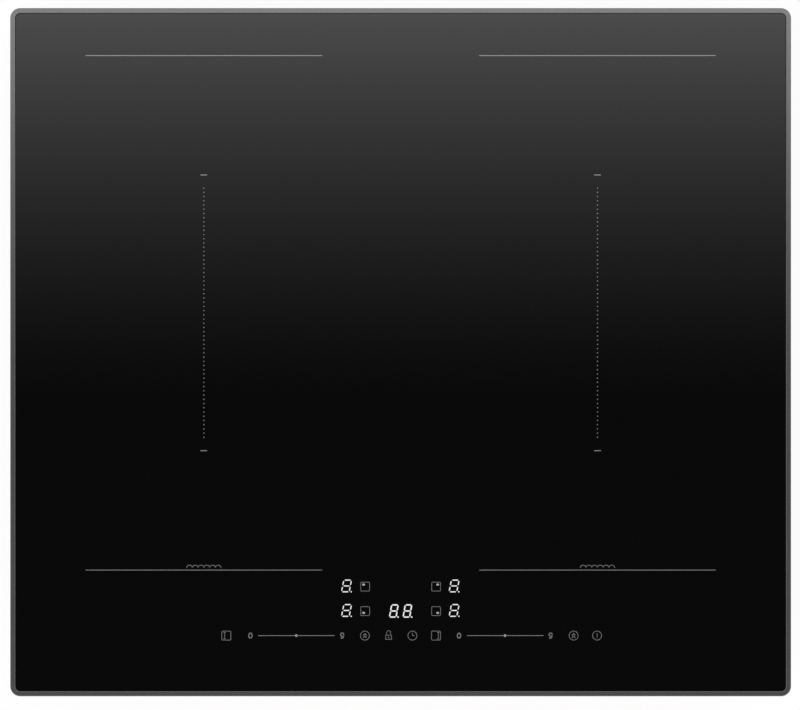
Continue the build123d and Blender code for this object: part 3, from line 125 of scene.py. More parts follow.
class Print(Pieces):
    """Flat marks as thin closed plates."""

    def __init__(self, low, thickness):
        super().__init__()
        self.low, self.high = low, low + thickness

    def plate(self, outline):
        """A convex plate with its outline anticlockwise."""
        start, count = len(self.points), len(outline)
        for z in (self.low, self.high):
            self.points += [(x, y, z) for x, y in outline]
        self.faces.append([start + i for i in reversed(range(count))])
        self.faces.append([start + count + i for i in range(count)])
        for i in range(count):
            j = (i + 1) % count
            self.faces.append([start + i, start + j, start + count + j, start + count + i])

    def bar(self, x, y, size_x, size_y):
        self.plate(rectangle(x, y, size_x, size_y))

    def dot(self, x, y, radius, sides=20):
        self.plate(circle(x, y, radius, sides))

    def stroke(self, line, width, closed=False):
        """A line of even width through points, with mitred corners."""
        count = len(line)
        half = width / 2
        left, right = [], []
        for i, point in enumerate(line):
            before = line[i - 1] if closed or i else None
            after = line[(i + 1) % count] if closed or i < count - 1 else None
            normals = []
            for a, b in ((before, point), (point, after)):
                if a and b:
                    length = hypot(b[0] - a[0], b[1] - a[1])
                    normals.append(((a[1] - b[1]) / length, (b[0] - a[0]) / length))
            nx = sum(n[0] for n in normals)
            ny = sum(n[1] for n in normals)
            scale = half * len(normals) / (nx * nx + ny * ny)
            left.append((point[0] + nx * scale, point[1] + ny * scale))
            right.append((point[0] - nx * scale, point[1] - ny * scale))
        start = len(self.points)
        for z in (self.low, self.high):
            self.points += [(x, y, z) for side in (left, right) for x, y in side]
        low_left, low_right, high_left, high_right = (start + k * count for k in range(4))
        for i in range(count if closed else count - 1):
            j = (i + 1) % count
            self.faces.append([high_right + i, high_right + j, high_left + j, high_left + i])
            self.faces.append([low_left + i, low_left + j, low_right + j, low_right + i])
            self.faces.append([low_right + i, low_right + j, high_right + j, high_right + i])
            self.faces.append([low_left + j, low_left + i, high_left + i, high_left + j])
        if not closed:
            end = count - 1
            self.faces.append([low_left, low_right, high_right, high_left])
            self.faces.append([low_right + end, low_left + end, high_left + end, high_right + end])


def sweep(path, section_at, up=Vector((0, 0, 1)), closed=False):
    """Points and faces of a section carried along a path; its frame turns no more than the path does."""
    points, faces = [], []
    count = len(path)
    for i, point in enumerate(path):
        before = path[i - 1] if closed or i else point
        after = path[(i + 1) % count] if closed or i < count - 1 else point
        ahead = (after - before).normalized()
        up = (up - ahead * up.dot(ahead)).normalized()
        across = ahead.cross(up)
        points += [point + across * u + up * v for u, v in section_at(i)]
    ring = len(points) // count
    for i in range(count if closed else count - 1):
        n = (i + 1) % count
        for j in range(ring):
            k = (j + 1) % ring
            faces.append([i * ring + k, i * ring + j, n * ring + j, n * ring + k])
    if not closed:
        last = (count - 1) * ring
        faces.append(list(range(ring)))
        faces.append([last + j for j in reversed(range(ring))])
    return points, faces


def wire_mesh(path, radius, sides, up=Vector((0, 0, 1))):
    """A round wire along a path."""
    section = circle(0, 0, radius, sides)
    return sweep(path, lambda _: section, up)


# ---------------------------------------------------------------- material helpers
def grey(value):
    return (value, value, value)


def scaled(colour, share):
    return tuple(c * share for c in colour)


def new_material(name, colour, roughness, metallic=0.0, ior=1.5, level=0.5):
    """A principled material; what is even over the surface is set on its own sockets."""
    material = bpy.data.materials.new(name)
    material.use_nodes = True
    shader = shader_of(material)
    shader.inputs["Base Color"].default_value = (*colour, 1.0)
    shader.inputs["Roughness"].default_value = roughness
    shader.inputs["Metallic"].default_value = metallic
    shader.inputs["IOR"].default_value = ior
    shader.inputs["Specular IOR Level"].default_value = level
    return material


def empty_material(name):
    """A material whose nodes are all still to be made."""
    material = bpy.data.materials.new(name)
    material.use_nodes = True
    material.node_tree.nodes.clear()
    return material


def shader_of(material):
    return material.node_tree.nodes["Principled BSDF"]


def node(material, kind, **values):
    made = material.node_tree.nodes.new(kind)
    for key, value in values.items():
        setattr(made, key, value)
    return made


def link(material, start, end):
    material.node_tree.links.new(start, end)


def show(material, surface):
    """Makes a shader the surface of an empty material."""
    output = node(material, "ShaderNodeOutputMaterial")
    link(material, surface, output.inputs["Surface"])


def place(material, stretch=(1, 1, 1)):
    """Object coordinates, stretched along the axes."""
    source = node(material, "ShaderNodeTexCoord")
    mapping = node(material, "ShaderNodeMapping")
    mapping.inputs["Scale"].default_value = stretch
    link(material, source.outputs["Object"], mapping.inputs["Vector"])
    return mapping.outputs["Vector"]


def coordinate(material, axis):
    """One of the object coordinates, in metres."""
    source = node(material, "ShaderNodeTexCoord")
    split = node(material, "ShaderNodeSeparateXYZ")
    link(material, source.outputs["Object"], split.inputs[0])
    return split.outputs[axis]


def noise(material, scale, detail=4.0, stretch=(1, 1, 1)):
    texture = node(material, "ShaderNodeTexNoise")
    texture.inputs["Scale"].default_value = scale
    texture.inputs["Detail"].default_value = detail
    link(material, place(material, stretch), texture.inputs["Vector"])
    return texture.outputs["Fac"]


def cells(material, scale, output, stretch=(1, 1, 1), feature="F1", distance="EUCLIDEAN"):
    texture = node(material, "ShaderNodeTexVoronoi", feature=feature, distance=distance)
    texture.inputs["Scale"].default_value = scale
    link(material, place(material, stretch), texture.inputs["Vector"])
    return texture.outputs[output]


def waves(material, scale, distortion=0.0):
    """Bands that follow one another along X."""
    texture = node(material, "ShaderNodeTexWave", bands_direction="X")
    texture.inputs["Scale"].default_value = scale
    texture.inputs["Distortion"].default_value = distortion
    link(material, place(material), texture.inputs["Vector"])
    return texture.outputs["Fac"]


def lightness(material, colour):
    value = node(material, "ShaderNodeRGBToBW")
    link(material, colour, value.inputs[0])
    return value.outputs[0]


def mixed(material, share, first, second):
    """Two textures, the second in a fixed share."""
    mix = node(material, "ShaderNodeMix", data_type="FLOAT")
    mix.inputs["Factor"].default_value = share
    link(material, first, mix.inputs["A"])
    link(material, second, mix.inputs["B"])
    return mix.outputs["Result"]


def calculated(material, value, *steps):
    """A value taken through one operation after another."""
    for operation, amount in steps:
        step = node(material, "ShaderNodeMath", operation=operation)
        step.inputs[1].default_value = amount
        link(material, value, step.inputs[0])
        value = step.outputs[0]
    return value


def ranged(material, value, **limits):
    """A value moved from one range to another; From and To are 0 to 1 where they aren't given."""
    spread = node(material, "ShaderNodeMapRange")
    for name, limit in limits.items():
        spread.inputs[name.replace("_", " ").title()].default_value = limit
    link(material, value, spread.inputs["Value"])
    return spread.outputs["Result"]


def drive(material, factor, socket, low, high, start=0.3, end=0.7):
    """A texture drives one number of the shader between two values."""
    result = ranged(material, factor, from_min=start, from_max=end, to_min=low, to_max=high)
    link(material, result, shader_of(material).inputs[socket])


def tint(material, factor, dark, light, start=0.3, end=0.7):
    """A texture mixes the base colour between two colours."""
    ramp = node(material, "ShaderNodeValToRGB")
    ramp.color_ramp.elements[0].position = start
    ramp.color_ramp.elements[0].color = (*dark, 1.0)
    ramp.color_ramp.elements[1].position = end
    ramp.color_ramp.elements[1].color = (*light, 1.0)
    link(material, factor, ramp.inputs["Fac"])
    link(material, ramp.outputs["Color"], shader_of(material).inputs["Base Color"])


def relief(material, height, strength, distance):
    """A texture as bump."""
    bump = node(material, "ShaderNodeBump")
    bump.inputs["Strength"].default_value = strength
    bump.inputs["Distance"].default_value = distance
    link(material, height, bump.inputs["Height"])
    link(material, bump.outputs["Normal"], shader_of(material).inputs["Normal"])


# ---------------------------------------------------------------- camera
LENS = 135.0
SENSOR = 36.0
TRIM_SHARE = 0.97625  # of the picture's width that the trim takes up
OFF_CENTRE = (0.491 * MM, 2.115 * MM)  # the object lies this far right and up of the picture's middle


def add_camera():
    """Straight above the glass, at the distance at which the trim has its share of the picture."""
    distance = (trim_high.x - trim_low.x) / TRIM_SHARE * LENS / SENSOR
    data = bpy.data.cameras.new("camera")
    data.lens = LENS
    data.sensor_width = SENSOR
    data.clip_end = 50.0
    camera = bpy.data.objects.new("camera", data)
    camera.location = (-OFF_CENTRE[0], -OFF_CENTRE[1], TRIM_TOP + distance)
    bpy.context.scene.collection.objects.link(camera)
    bpy.context.scene.camera = camera
    return camera


# ---------------------------------------------------------------- stage and light
FLOOR_R = 60.0
FLOOR_DROP = 0.2 * MM  # below the feet
FLOOR_COLOUR = (0.93, 0.93, 0.93)
FLOOR_WHITE = 0.9  # share of plain white in the floor as it is seen; the rest keeps the shadow
CARD_GAP = 0.35  # from the camera up to the card that the glass mirrors
CARD_MARGIN = 1.55  # size of the card over what the trim's outline needs
SHADE_REAR = 75.5 / 255  # how light the glass looks at its rear edge, as shown on a screen
SHADE_FRONT = 10.0 / 255
SHADE_END_Y = -0.034  # where the reflection has faded out
SHADE_EASE = 1.21  # above 1 the fade flattens out towards its end
SRGB_OFFSET, SRGB_SCALE, SRGB_POWER = 0.055, 1.055, 2.4  # from a screen's values to light
GLASS_IOR = 1.5
WORLD_DIFFUSE = 0.8  # share of the light that comes evenly from all sides
LAMPS = {  # place, size and power
    "key_lamp": ((-1.5, -1.6, 2.6), 1.6, 38.0),
    "fill_lamp": ((1.9, 1.0, 2.4), 1.8, 26.0),
}


def flat_stage(name, outline, z, material):
    """One flat face of the stage."""
    mesh = bpy.data.meshes.new(name)
    mesh.from_pydata([(x, y, z) for x, y in outline], [], [tuple(range(len(outline)))])
    mesh.materials.append(material)
    piece = bpy.data.objects.new(name, mesh)
    bpy.context.scene.collection.objects.link(piece)
    return piece


def seen_directly(material):
    """1 for camera, glossy and transmitted rays, else 0."""
    path = node(material, "ShaderNodeLightPath")
    seen = path.outputs["Is Camera Ray"]
    for ray in ("Is Glossy Ray", "Is Transmission Ray"):
        either = node(material, "ShaderNodeMath", operation="MAXIMUM")
        link(material, seen, either.inputs[0])
        link(material, path.outputs[ray], either.inputs[1])
        seen = either.outputs[0]
    return seen


def mixed_shader(material, share, first, second):
    mix = node(material, "ShaderNodeMixShader")
    link(material, share, mix.inputs["Fac"])
    link(material, first.outputs[0], mix.inputs[1])
    link(material, second.outputs[0], mix.inputs[2])
    return mix


def add_floor():
    """A white floor that keeps the shadow and can't be seen from below."""
    material = empty_material("floor")
    diffuse = node(material, "ShaderNodeBsdfDiffuse")
    diffuse.inputs["Color"].default_value = (*FLOOR_COLOUR, 1.0)
    white = node(material, "ShaderNodeEmission")
    share = calculated(material, seen_directly(material), ("MULTIPLY", FLOOR_WHITE))
    lit = mixed_shader(material, share, diffuse, white)
    clear = node(material, "ShaderNodeBsdfTransparent")
    geometry = node(material, "ShaderNodeNewGeometry")
    show(material, mixed_shader(material, geometry.outputs["Backfacing"], lit, clear).outputs[0])
    triangle = circle(0, 0, FLOOR_R, 3)  # one triangle has no seam below the object
    flat_stage("floor", triangle, -FLOOR_DROP, material)


def add_card(camera):
    """A dark studio card above the camera, lit towards the rear, that the glass mirrors."""
    height = camera.location.z + CARD_GAP
    spread = 1 + (height - GLASS_TOP) / (camera.location.z - GLASS_TOP)

    def mirrored(y):
        """Where on the card the camera sees what the glass mirrors at y."""
        return y * spread - camera.location.y * (spread - 1)

    material = empty_material("card")
    fade = ranged(
        material, coordinate(material, "Y"), from_min=mirrored(SHADE_END_Y), from_max=mirrored(glass_high.y)
    )
    dark = ((SHADE_FRONT + SRGB_OFFSET) / SRGB_SCALE) ** SRGB_POWER
    mirror = ((GLASS_IOR - 1) / (GLASS_IOR + 1)) ** 2
    strength = calculated(
        material,
        fade,
        ("POWER", SHADE_EASE),
        ("MULTIPLY", SHADE_REAR - SHADE_FRONT),
        ("ADD", SHADE_FRONT + SRGB_OFFSET),
        ("DIVIDE", SRGB_SCALE),
        ("POWER", SRGB_POWER),
        ("SUBTRACT", dark),
        ("DIVIDE", mirror),
    )
    glow = node(material, "ShaderNodeEmission")
    link(material, strength, glow.inputs["Strength"])
    show(material, glow.outputs[0])
    reach = 2 * spread * CARD_MARGIN
    card = flat_stage("card", rectangle(0, 0, trim_high.x * reach, trim_high.y * reach), height, material)
    card.visible_diffuse = False
    card.visible_shadow = False


def add_world():
    """Plain white to look at, and a softer even light on the object."""
    world = bpy.data.worlds.new("studio")
    world.use_nodes = True
    bpy.context.scene.world = world
    background = world.node_tree.nodes["Background"]
    background.inputs["Color"].default_value = (*grey(1.0), 1.0)
    strength = ranged(world, seen_directly(world), to_min=WORLD_DIFFUSE)
    link(world, strength, background.inputs["Strength"])


def add_lamps():
    """Soft square lamps that point at the middle of the object."""
    for name, (place_at, size, watts) in LAMPS.items():
        data = bpy.data.lights.new(name, "AREA")
        data.shape = "SQUARE"
        data.size = size
        data.energy = watts
        lamp = bpy.data.objects.new(name, data)
        lamp.location = place_at
        lamp.rotation_euler = (-Vector(place_at)).to_track_quat("-Z", "Y").to_euler()
        bpy.context.scene.collection.objects.link(lamp)


# ---------------------------------------------------------------- materials
TRIM_SIDE = 6 * MM  # nearer than this to the left and right edges the trim is brushed from front to rear
TRACK_EDGE = 0.12  # width of the gaps beside a track, as a share of its cell
RIBBON_RIDGES = 247.0  # gives a ridge each 1.27 mm


def glass_material():
    """Black glass-ceramic, polished, with a trace of waviness."""
    material = new_material("glass", (0.0025, 0.0025, 0.0027), roughness=0.03, ior=GLASS_IOR)
    drive(material, noise(material, scale=9.0, detail=2.0), "Roughness", low=0.02, high=0.045)
    relief(material, noise(material, scale=3.0, detail=1.0), strength=0.02, distance=0.4 * MM)
    return material


def trim_material():
    """Dark grey satin metal, brushed along each side of the frame."""
    material = new_material("trim", grey(0.055), roughness=0.14, ior=1.97)
    along_x = noise(material, scale=90.0, detail=6.0, stretch=(1, 60, 60))
    along_y = noise(material, scale=90.0, detail=6.0, stretch=(60, 1, 60))
    away = node(material, "ShaderNodeMath", operation="ABSOLUTE")
    link(material, coordinate(material, "X"), away.inputs[0])
    side = calculated(material, away.outputs[0], ("GREATER_THAN", trim_high.x - TRIM_SIDE))
    grain = node(material, "ShaderNodeMix", data_type="FLOAT")
    link(material, side, grain.inputs["Factor"])
    link(material, along_x, grain.inputs["A"])
    link(material, along_y, grain.inputs["B"])
    tint(material, grain.outputs["Result"], dark=grey(0.049), light=grey(0.064))
    relief(material, grain.outputs["Result"], strength=0.12, distance=0.04 * MM)
    return material


def foam_material():
    """Black closed-cell foam with a pitted skin."""
    material = new_material("seal", grey(0.025), roughness=0.85, level=0.3)
    tint(material, noise(material, scale=400.0), dark=grey(0.017), light=grey(0.036))
    relief(material, cells(material, scale=900.0, output="Distance"), strength=0.5, distance=0.2 * MM)
    return material


def zinc_material(name, colour, cell=170.0, contrast=0.08, roughness=0.42):
    """Galvanised sheet: flat crystals that differ in lightness and gloss."""
    material = new_material(name, colour, roughness, metallic=0.85)
    spangle = lightness(material, cells(material, scale=cell, output="Color"))
    mix = mixed(material, 0.25, spangle, noise(material, scale=700.0, detail=3.0))
    dark, light = scaled(colour, 1 - contrast), scaled(colour, 1 + contrast)
    tint(material, mix, dark, light, start=0.25, end=0.75)
    drive(material, spangle, "Roughness", roughness - 0.05, roughness + 0.06, start=0.25, end=0.75)
    relief(material, noise(material, scale=900.0, detail=3.0), strength=0.06, distance=0.1 * MM)
    return material


def metal_material(name, colour, roughness, scale, stretch=(1, 1, 1)):
    """Plain metal with grain or fine scratches."""
    material = new_material(name, colour, roughness, metallic=1.0)
    grain = noise(material, scale, 5.0, stretch)
    tint(material, grain, scaled(colour, 0.9), scaled(colour, 1.08))
    drive(material, grain, "Roughness", roughness - 0.06, roughness + 0.08)
    relief(material, grain, strength=0.08, distance=0.1 * MM)
    return material


def plastic_material(name, colour, roughness, scale=1400.0, bump=0.25):
    """Moulded plastic with a fine eroded texture."""
    material = new_material(name, colour, roughness)
    tint(material, noise(material, scale=60.0), scaled(colour, 0.9), scaled(colour, 1.1))
    drive(material, noise(material, scale=150.0), "Roughness", roughness - 0.05, roughness + 0.07)
    relief(material, noise(material, scale, detail=2.0), bump, distance=0.1 * MM)
    return material


def copper_material():
    """Enamelled litz: fine strands that run round the bundle, with painted shade darkening the grooves
    between them.
    """
    colour = (0.62, 0.25, 0.10)
    material = new_material("copper", colour, roughness=0.32, metallic=0.9)
    strands = waves(material, scale=420.0, distortion=2.5)
    # painted shade: the base colour darkens where the strands' bump is low, in the grooves between them
    tint(material, strands, scaled(colour, 0.55), scaled(colour, 1.15), start=0.2, end=0.8)
    relief(material, strands, strength=0.4, distance=0.3 * MM)
    return material


def board_material():
    """Green solder mask over copper: square-edged pours and fine tracks."""
    material = new_material("board_green", (0.012, 0.10, 0.045), roughness=0.3)
    pours = lightness(material, cells(material, scale=70.0, output="Color", distance="CHEBYCHEV"))
    edges = {"feature": "DISTANCE_TO_EDGE", "distance": "CHEBYCHEV", "output": "Distance"}
    tracks = cells(material, scale=190.0, stretch=(1.0, 0.45, 1.0), **edges)
    pattern = mixed(material, 0.35, pours, ranged(material, tracks, from_max=TRACK_EDGE))
    tint(material, pattern, dark=(0.008, 0.075, 0.032), light=(0.017, 0.14, 0.062), start=0.25, end=0.85)
    relief(material, pattern, strength=0.15, distance=0.06 * MM)
    return material


def ribbon_material():
    """Flat cable: one ridge for each conductor, with painted shade darkening the grooves between the ridges.
    """
    material = new_material("ribbon_grey", grey(0.45), roughness=0.5)
    ridges_and_groove_shade = waves(material, RIBBON_RIDGES)
    # painted shade: the base colour darkens in the grooves between the ridges, where the bump is low
    tint(material, ridges_and_groove_shade, dark=grey(0.30), light=grey(0.52), start=0.1, end=0.6)
    relief(material, ridges_and_groove_shade, strength=0.5, distance=0.3 * MM)
    return material


def glow_material(name, colour, strength):
    """A lit segment: the light of a diode spread by a frosted mask."""
    material = new_material(name, grey(0.02), roughness=0.4)
    shader_of(material).inputs["Emission Color"].default_value = (*colour, 1.0)
    frost = noise(material, scale=900.0, detail=2.0)
    drive(material, frost, "Emission Strength", strength * 0.93, strength * 1.04)
    return material


def ink_material(name, value):
    """Fired ceramic ink: a glossy frit, slightly grainy."""
    material = new_material(name, grey(value), roughness=0.2, ior=2.3)
    tint(material, noise(material, scale=1500.0, detail=2.0), grey(value * 0.9), grey(value * 1.1))
    return material


MATERIALS = {
    "glass": glass_material(),
    "trim": trim_material(),
    "seal": foam_material(),
    "copper": copper_material(),
    "board_green": board_material(),
    "ribbon_grey": ribbon_material(),
    "zinc_steel": zinc_material("zinc_steel", grey(0.46), cell=110.0),
    "case_steel": zinc_material("case_steel", (0.40, 0.41, 0.42)),
}
METALS = {  # colour, roughness, scale and stretch of the grain
    "screw_steel": ((0.60, 0.60, 0.57), 0.30, 500.0, (1, 1, 1)),
    "spring_steel": ((0.50, 0.50, 0.51), 0.25, 800.0, (1, 1, 1)),
    "tray_alu": ((0.66, 0.67, 0.68), 0.40, 60.0, (1, 25, 1)),
    "sink_alu": ((0.62, 0.63, 0.64), 0.38, 60.0, (30, 1, 30)),
}
PLASTICS = {  # colour, roughness, and the scale and strength of the texture where they aren't the usual ones
    "former_plastic": ((0.62, 0.58, 0.47), 0.55),
    "ferrite": (grey(0.035), 0.6, 500.0, 0.4),
    "mica": ((0.48, 0.40, 0.27), 0.5, 250.0, 0.5),
    "sensor_rubber": ((0.42, 0.035, 0.02), 0.6),
    "part_black": (grey(0.02), 0.38),
    "nylon": ((0.70, 0.69, 0.64), 0.5, 900.0, 0.15),
    "black_plastic": (grey(0.018), 0.5),
    "grey_plastic": (grey(0.20), 0.5),
    "display_plastic": (grey(0.03), 0.3, 600.0, 0.1),
    "lead_insulation": (grey(0.03), 0.45),
    "sealant": (grey(0.012), 0.4, 300.0, 0.1),
    "film_yellow": ((0.60, 0.42, 0.07), 0.35, 700.0, 0.12),
    "film_blue": ((0.04, 0.13, 0.34), 0.35, 700.0, 0.12),
    "relay_grey": (grey(0.09), 0.4, 900.0, 0.15),
    "lead_brown": ((0.13, 0.05, 0.02), 0.45, 700.0, 0.1),
    "lead_blue": ((0.02, 0.08, 0.33), 0.45, 700.0, 0.1),
    "lead_green": ((0.10, 0.30, 0.04), 0.45, 700.0, 0.1),
}
MATERIALS.update({name: metal_material(name, *values) for name, values in METALS.items()})
MATERIALS.update({name: plastic_material(name, *values) for name, values in PLASTICS.items()})


def dress_nodes():
    """Every node of the frame gets the material of its slot."""
    for part in frame["record"]["subparts"]:
        materials = frame["nodes"][part["node"]].data.materials
        materials.clear()
        materials.append(MATERIALS[part["material_slot"]])


# ---------------------------------------------------------------- printed marks
INK_T = 0.05 * MM
INK_GREY = 0.175
LINE_W = 0.5 * MM
ZONE_X = 148.7 * MM
ZONE_HALF = 89.3 * MM
ZONE_REAR_Y, ZONE_FRONT_Y = 224.1 * MM, -164.6 * MM
TICK_REAR_Y, TICK_FRONT_Y = 133.9 * MM, -74.4 * MM
TICK_L, TICK_W = 5.0 * MM, 0.68 * MM
DOTS_REAR_Y, DOTS_FRONT_Y = 124.0 * MM, -64.3 * MM
DOT_COUNT = 60
DOT_R = 0.42 * MM
COIL_SIGN_Y = -161.9 * MM
COIL_SIGN_L = 26.0 * MM
COIL_SIGN_LOOPS = 6
COIL_SIGN_H = 2.1 * MM
COIL_SIGN_W = 0.38 * MM


def zone_marks(sign):
    """End lines, ticks and the dotted centre line of a zone, and a small coil sign above its front line."""
    x = sign * ZONE_X
    marks = Print(GLASS_TOP, INK_T)
    for y in (ZONE_REAR_Y, ZONE_FRONT_Y):
        marks.bar(x, y, 2 * ZONE_HALF, LINE_W)
    for y in (TICK_REAR_Y, TICK_FRONT_Y):
        marks.bar(x, y, TICK_L, TICK_W)
    for n in range(DOT_COUNT):
        marks.dot(x, DOTS_FRONT_Y + (DOTS_REAR_Y - DOTS_FRONT_Y) * n / (DOT_COUNT - 1), DOT_R, sides=12)
    pitch = COIL_SIGN_L / COIL_SIGN_LOOPS
    for n in range(COIL_SIGN_LOOPS):
        middle_x = x + (n - (COIL_SIGN_LOOPS - 1) / 2) * pitch
        loop = arc(middle_x, COIL_SIGN_Y - COIL_SIGN_H / 2, pitch / 2, COIL_SIGN_H, 180, 0, steps=12)
        marks.stroke(loop, COIL_SIGN_W)
    return marks


ROW_Y = -214.1 * MM  # the row of touch keys
ICON_W = 0.34 * MM
ICON_R = 3.4 * MM
ICON_CORNER_R = 0.7 * MM
KEY_X = {
    "flex_left": -131.7 * MM,
    "boost_left": -27.0 * MM,
    "lock": -9.1 * MM,
    "clock": 8.9 * MM,
    "flex_right": 26.7 * MM,
    "boost_right": 130.7 * MM,
    "power": 148.4 * MM,
}
NUMERAL_X = {-113.5 * MM: "0", -44.15 * MM: "9", 44.1 * MM: "0", 113.3 * MM: "9"}
NUMERAL_W = 0.66 * MM
ZERO_R = (1.3 * MM, 1.85 * MM)
NINE_BOWL_R = 1.2 * MM
NINE_BOWL_UP = 0.75 * MM
NINE_TAIL_R = (1.45 * MM, 2.55 * MM)
NINE_TAIL_AT = (-0.25 * MM, 0.6 * MM)  # its centre from the numeral's
NINE_TAIL_TURN = (5, -125)  # degrees
SLIDER_X = 78.85 * MM
SLIDER_HALF = 28.9 * MM
SLIDER_W = 0.45 * MM
ROW_REAR_Y, ROW_FRONT_Y = -177.0 * MM, -195.5 * MM  # the two rows of zone keys
ZONE_ICON_X = 26.8 * MM
ZONE_ICON_SIZE = 6.7 * MM
ZONE_ICON_DROP = 0.1 * MM  # of the key's frame below its row
FLEX_SIZE = 6.8 * MM
FLEX_BAR_L = 4.6 * MM
FLEX_BAR_X = {"left": -1.25 * MM, "right": 1.7 * MM}  # from the middle of the key
FLEX_CAP_HALF, FLEX_CAP_H = 1.05 * MM, 0.9 * MM
FLEX_CAP_Y = 2.6 * MM
CHEVRON_HALF, CHEVRON_H = 1.3 * MM, 1.4 * MM
CHEVRON_LOWS = (-1.7 * MM, 0.1 * MM)
CHEVRON_W = 1.4 * ICON_W
LOCK_SIZE = (4.5 * MM, 3.05 * MM)
LOCK_DROP = 1.26 * MM
SHACKLE_R = (1.5 * MM, 1.85 * MM)
SHACKLE_UP = 1.6 * MM
KEYHOLE_R = 0.4 * MM
CLOCK_HAND_UP, CLOCK_HAND_RIGHT = 2.0 * MM, 1.6 * MM
POWER_BAR_L = 3.7 * MM


def draw_numeral(marks, digit, x, y):
    """A plain 0 or 9 drawn with one even line."""
    if digit == "0":
        marks.stroke(ellipse(x, y, *ZERO_R, 32), NUMERAL_W, closed=True)
        return
    marks.stroke(circle(x, y + NINE_BOWL_UP, NINE_BOWL_R, 28), NUMERAL_W, closed=True)
    dx, dy = NINE_TAIL_AT
    marks.stroke(arc(x + dx, y + dy, *NINE_TAIL_R, *NINE_TAIL_TURN, steps=16), NUMERAL_W)


def draw_flex(marks, x, side):
    """A framed bar between two short caps: both coils of one side act as one."""
    frame_line = rounded_rectangle(x, ROW_Y, FLEX_SIZE, FLEX_SIZE, ICON_CORNER_R)
    marks.stroke(frame_line, ICON_W, closed=True)
    bar_x = x + FLEX_BAR_X[side]
    marks.bar(bar_x, ROW_Y, ICON_W, FLEX_BAR_L)
    for end in (-1, 1):
        wide_y = ROW_Y + end * FLEX_CAP_Y
        cap = [
            (bar_x - FLEX_CAP_HALF, wide_y),
            (bar_x + FLEX_CAP_HALF, wide_y),
            (bar_x, wide_y - end * FLEX_CAP_H),
        ]
        marks.plate(cap[::-end])


def draw_boost(marks, x):
    """Two upward chevrons in a circle."""
    marks.stroke(circle(x, ROW_Y, ICON_R), ICON_W, closed=True)
    for low in CHEVRON_LOWS:
        y = ROW_Y + low
        marks.stroke([(x - CHEVRON_HALF, y), (x, y + CHEVRON_H), (x + CHEVRON_HALF, y)], CHEVRON_W)


def draw_lock(marks, x):
    """A closed padlock with a round keyhole."""
    body_y = ROW_Y - LOCK_DROP
    body_top = body_y + LOCK_SIZE[1] / 2
    marks.stroke(rectangle(x, body_y, *LOCK_SIZE), ICON_W, closed=True)
    shackle = arc(x, body_top + SHACKLE_UP, *SHACKLE_R, 180, 0, steps=16)
    marks.stroke([(x - SHACKLE_R[0], body_top), *shackle, (x + SHACKLE_R[0], body_top)], ICON_W)
    marks.dot(x, body_y, KEYHOLE_R)


def draw_clock(marks, x):
    """A clock face with its two hands."""
    marks.stroke(circle(x, ROW_Y, ICON_R), ICON_W, closed=True)
    marks.stroke([(x, ROW_Y + CLOCK_HAND_UP), (x, ROW_Y), (x + CLOCK_HAND_RIGHT, ROW_Y)], ICON_W)


def draw_power(marks, x):
    """An upright bar in a circle."""
    marks.stroke(circle(x, ROW_Y, ICON_R), ICON_W, closed=True)
    marks.bar(x, ROW_Y, ICON_W, POWER_BAR_L)


def control_marks():
    """The printed keys of the control strip."""
    marks = Print(GLASS_TOP, INK_T)
    for side in SIDES:
        draw_flex(marks, KEY_X[f"flex_{side}"], side)
    for side in SIDES:
        draw_boost(marks, KEY_X[f"boost_{side}"])
    draw_lock(marks, KEY_X["lock"])
    draw_clock(marks, KEY_X["clock"])
    draw_power(marks, KEY_X["power"])
    for sign in SIDES.values():
        for row_y in (ROW_REAR_Y, ROW_FRONT_Y):
            y = row_y - ZONE_ICON_DROP
            icon = rounded_rectangle(sign * ZONE_ICON_X, y, ZONE_ICON_SIZE, ZONE_ICON_SIZE, ICON_CORNER_R)
            marks.stroke(icon, ICON_W, closed=True)
    return marks


def slider_marks():
    """The two power sliders with their end numerals."""
    marks = Print(GLASS_TOP, INK_T)
    for x, digit in NUMERAL_X.items():
        draw_numeral(marks, digit, x, ROW_Y)
    for sign in SIDES.values():
        marks.bar(sign * SLIDER_X, ROW_Y, 2 * SLIDER_HALF, SLIDER_W)
    return marks


# ---------------------------------------------------------------- lit marks
ZONE_DIGIT_X = (-40.9 * MM, 40.4 * MM)
ZONE_DIGIT_Y = (-176.6 * MM, -195.1 * MM)
ZONE_DIGIT = {
    "size": (5.8 * MM, 8.85 * MM), "stroke": 0.78 * MM, "gap": 0.6 * MM, "lean": 0.195, "point_r": 0.5 * MM
}
TIMER_X = 5.13 * MM
TIMER_Y = -195.5 * MM
TIMER_DIGIT = {
    "size": (4.9 * MM, 9.15 * MM), "stroke": 0.97 * MM, "gap": 0.25 * MM, "lean": 0.175, "point_r": 0.6 * MM
}
POINT_OFFSET = 1.5 * MM
ZONE_LAMP_R = (1.1 * MM, 0.8 * MM)
ZONE_LAMP_OUT, ZONE_LAMP_OFF = 1.2 * MM, 1.45 * MM  # from its key's middle, along X and along Y
SLIDER_LAMP_R = 0.95 * MM
DIGIT_COLOUR, DIGIT_GLOW = (0.97, 0.98, 1.0), 0.84
LAMP_GLOW = 0.32


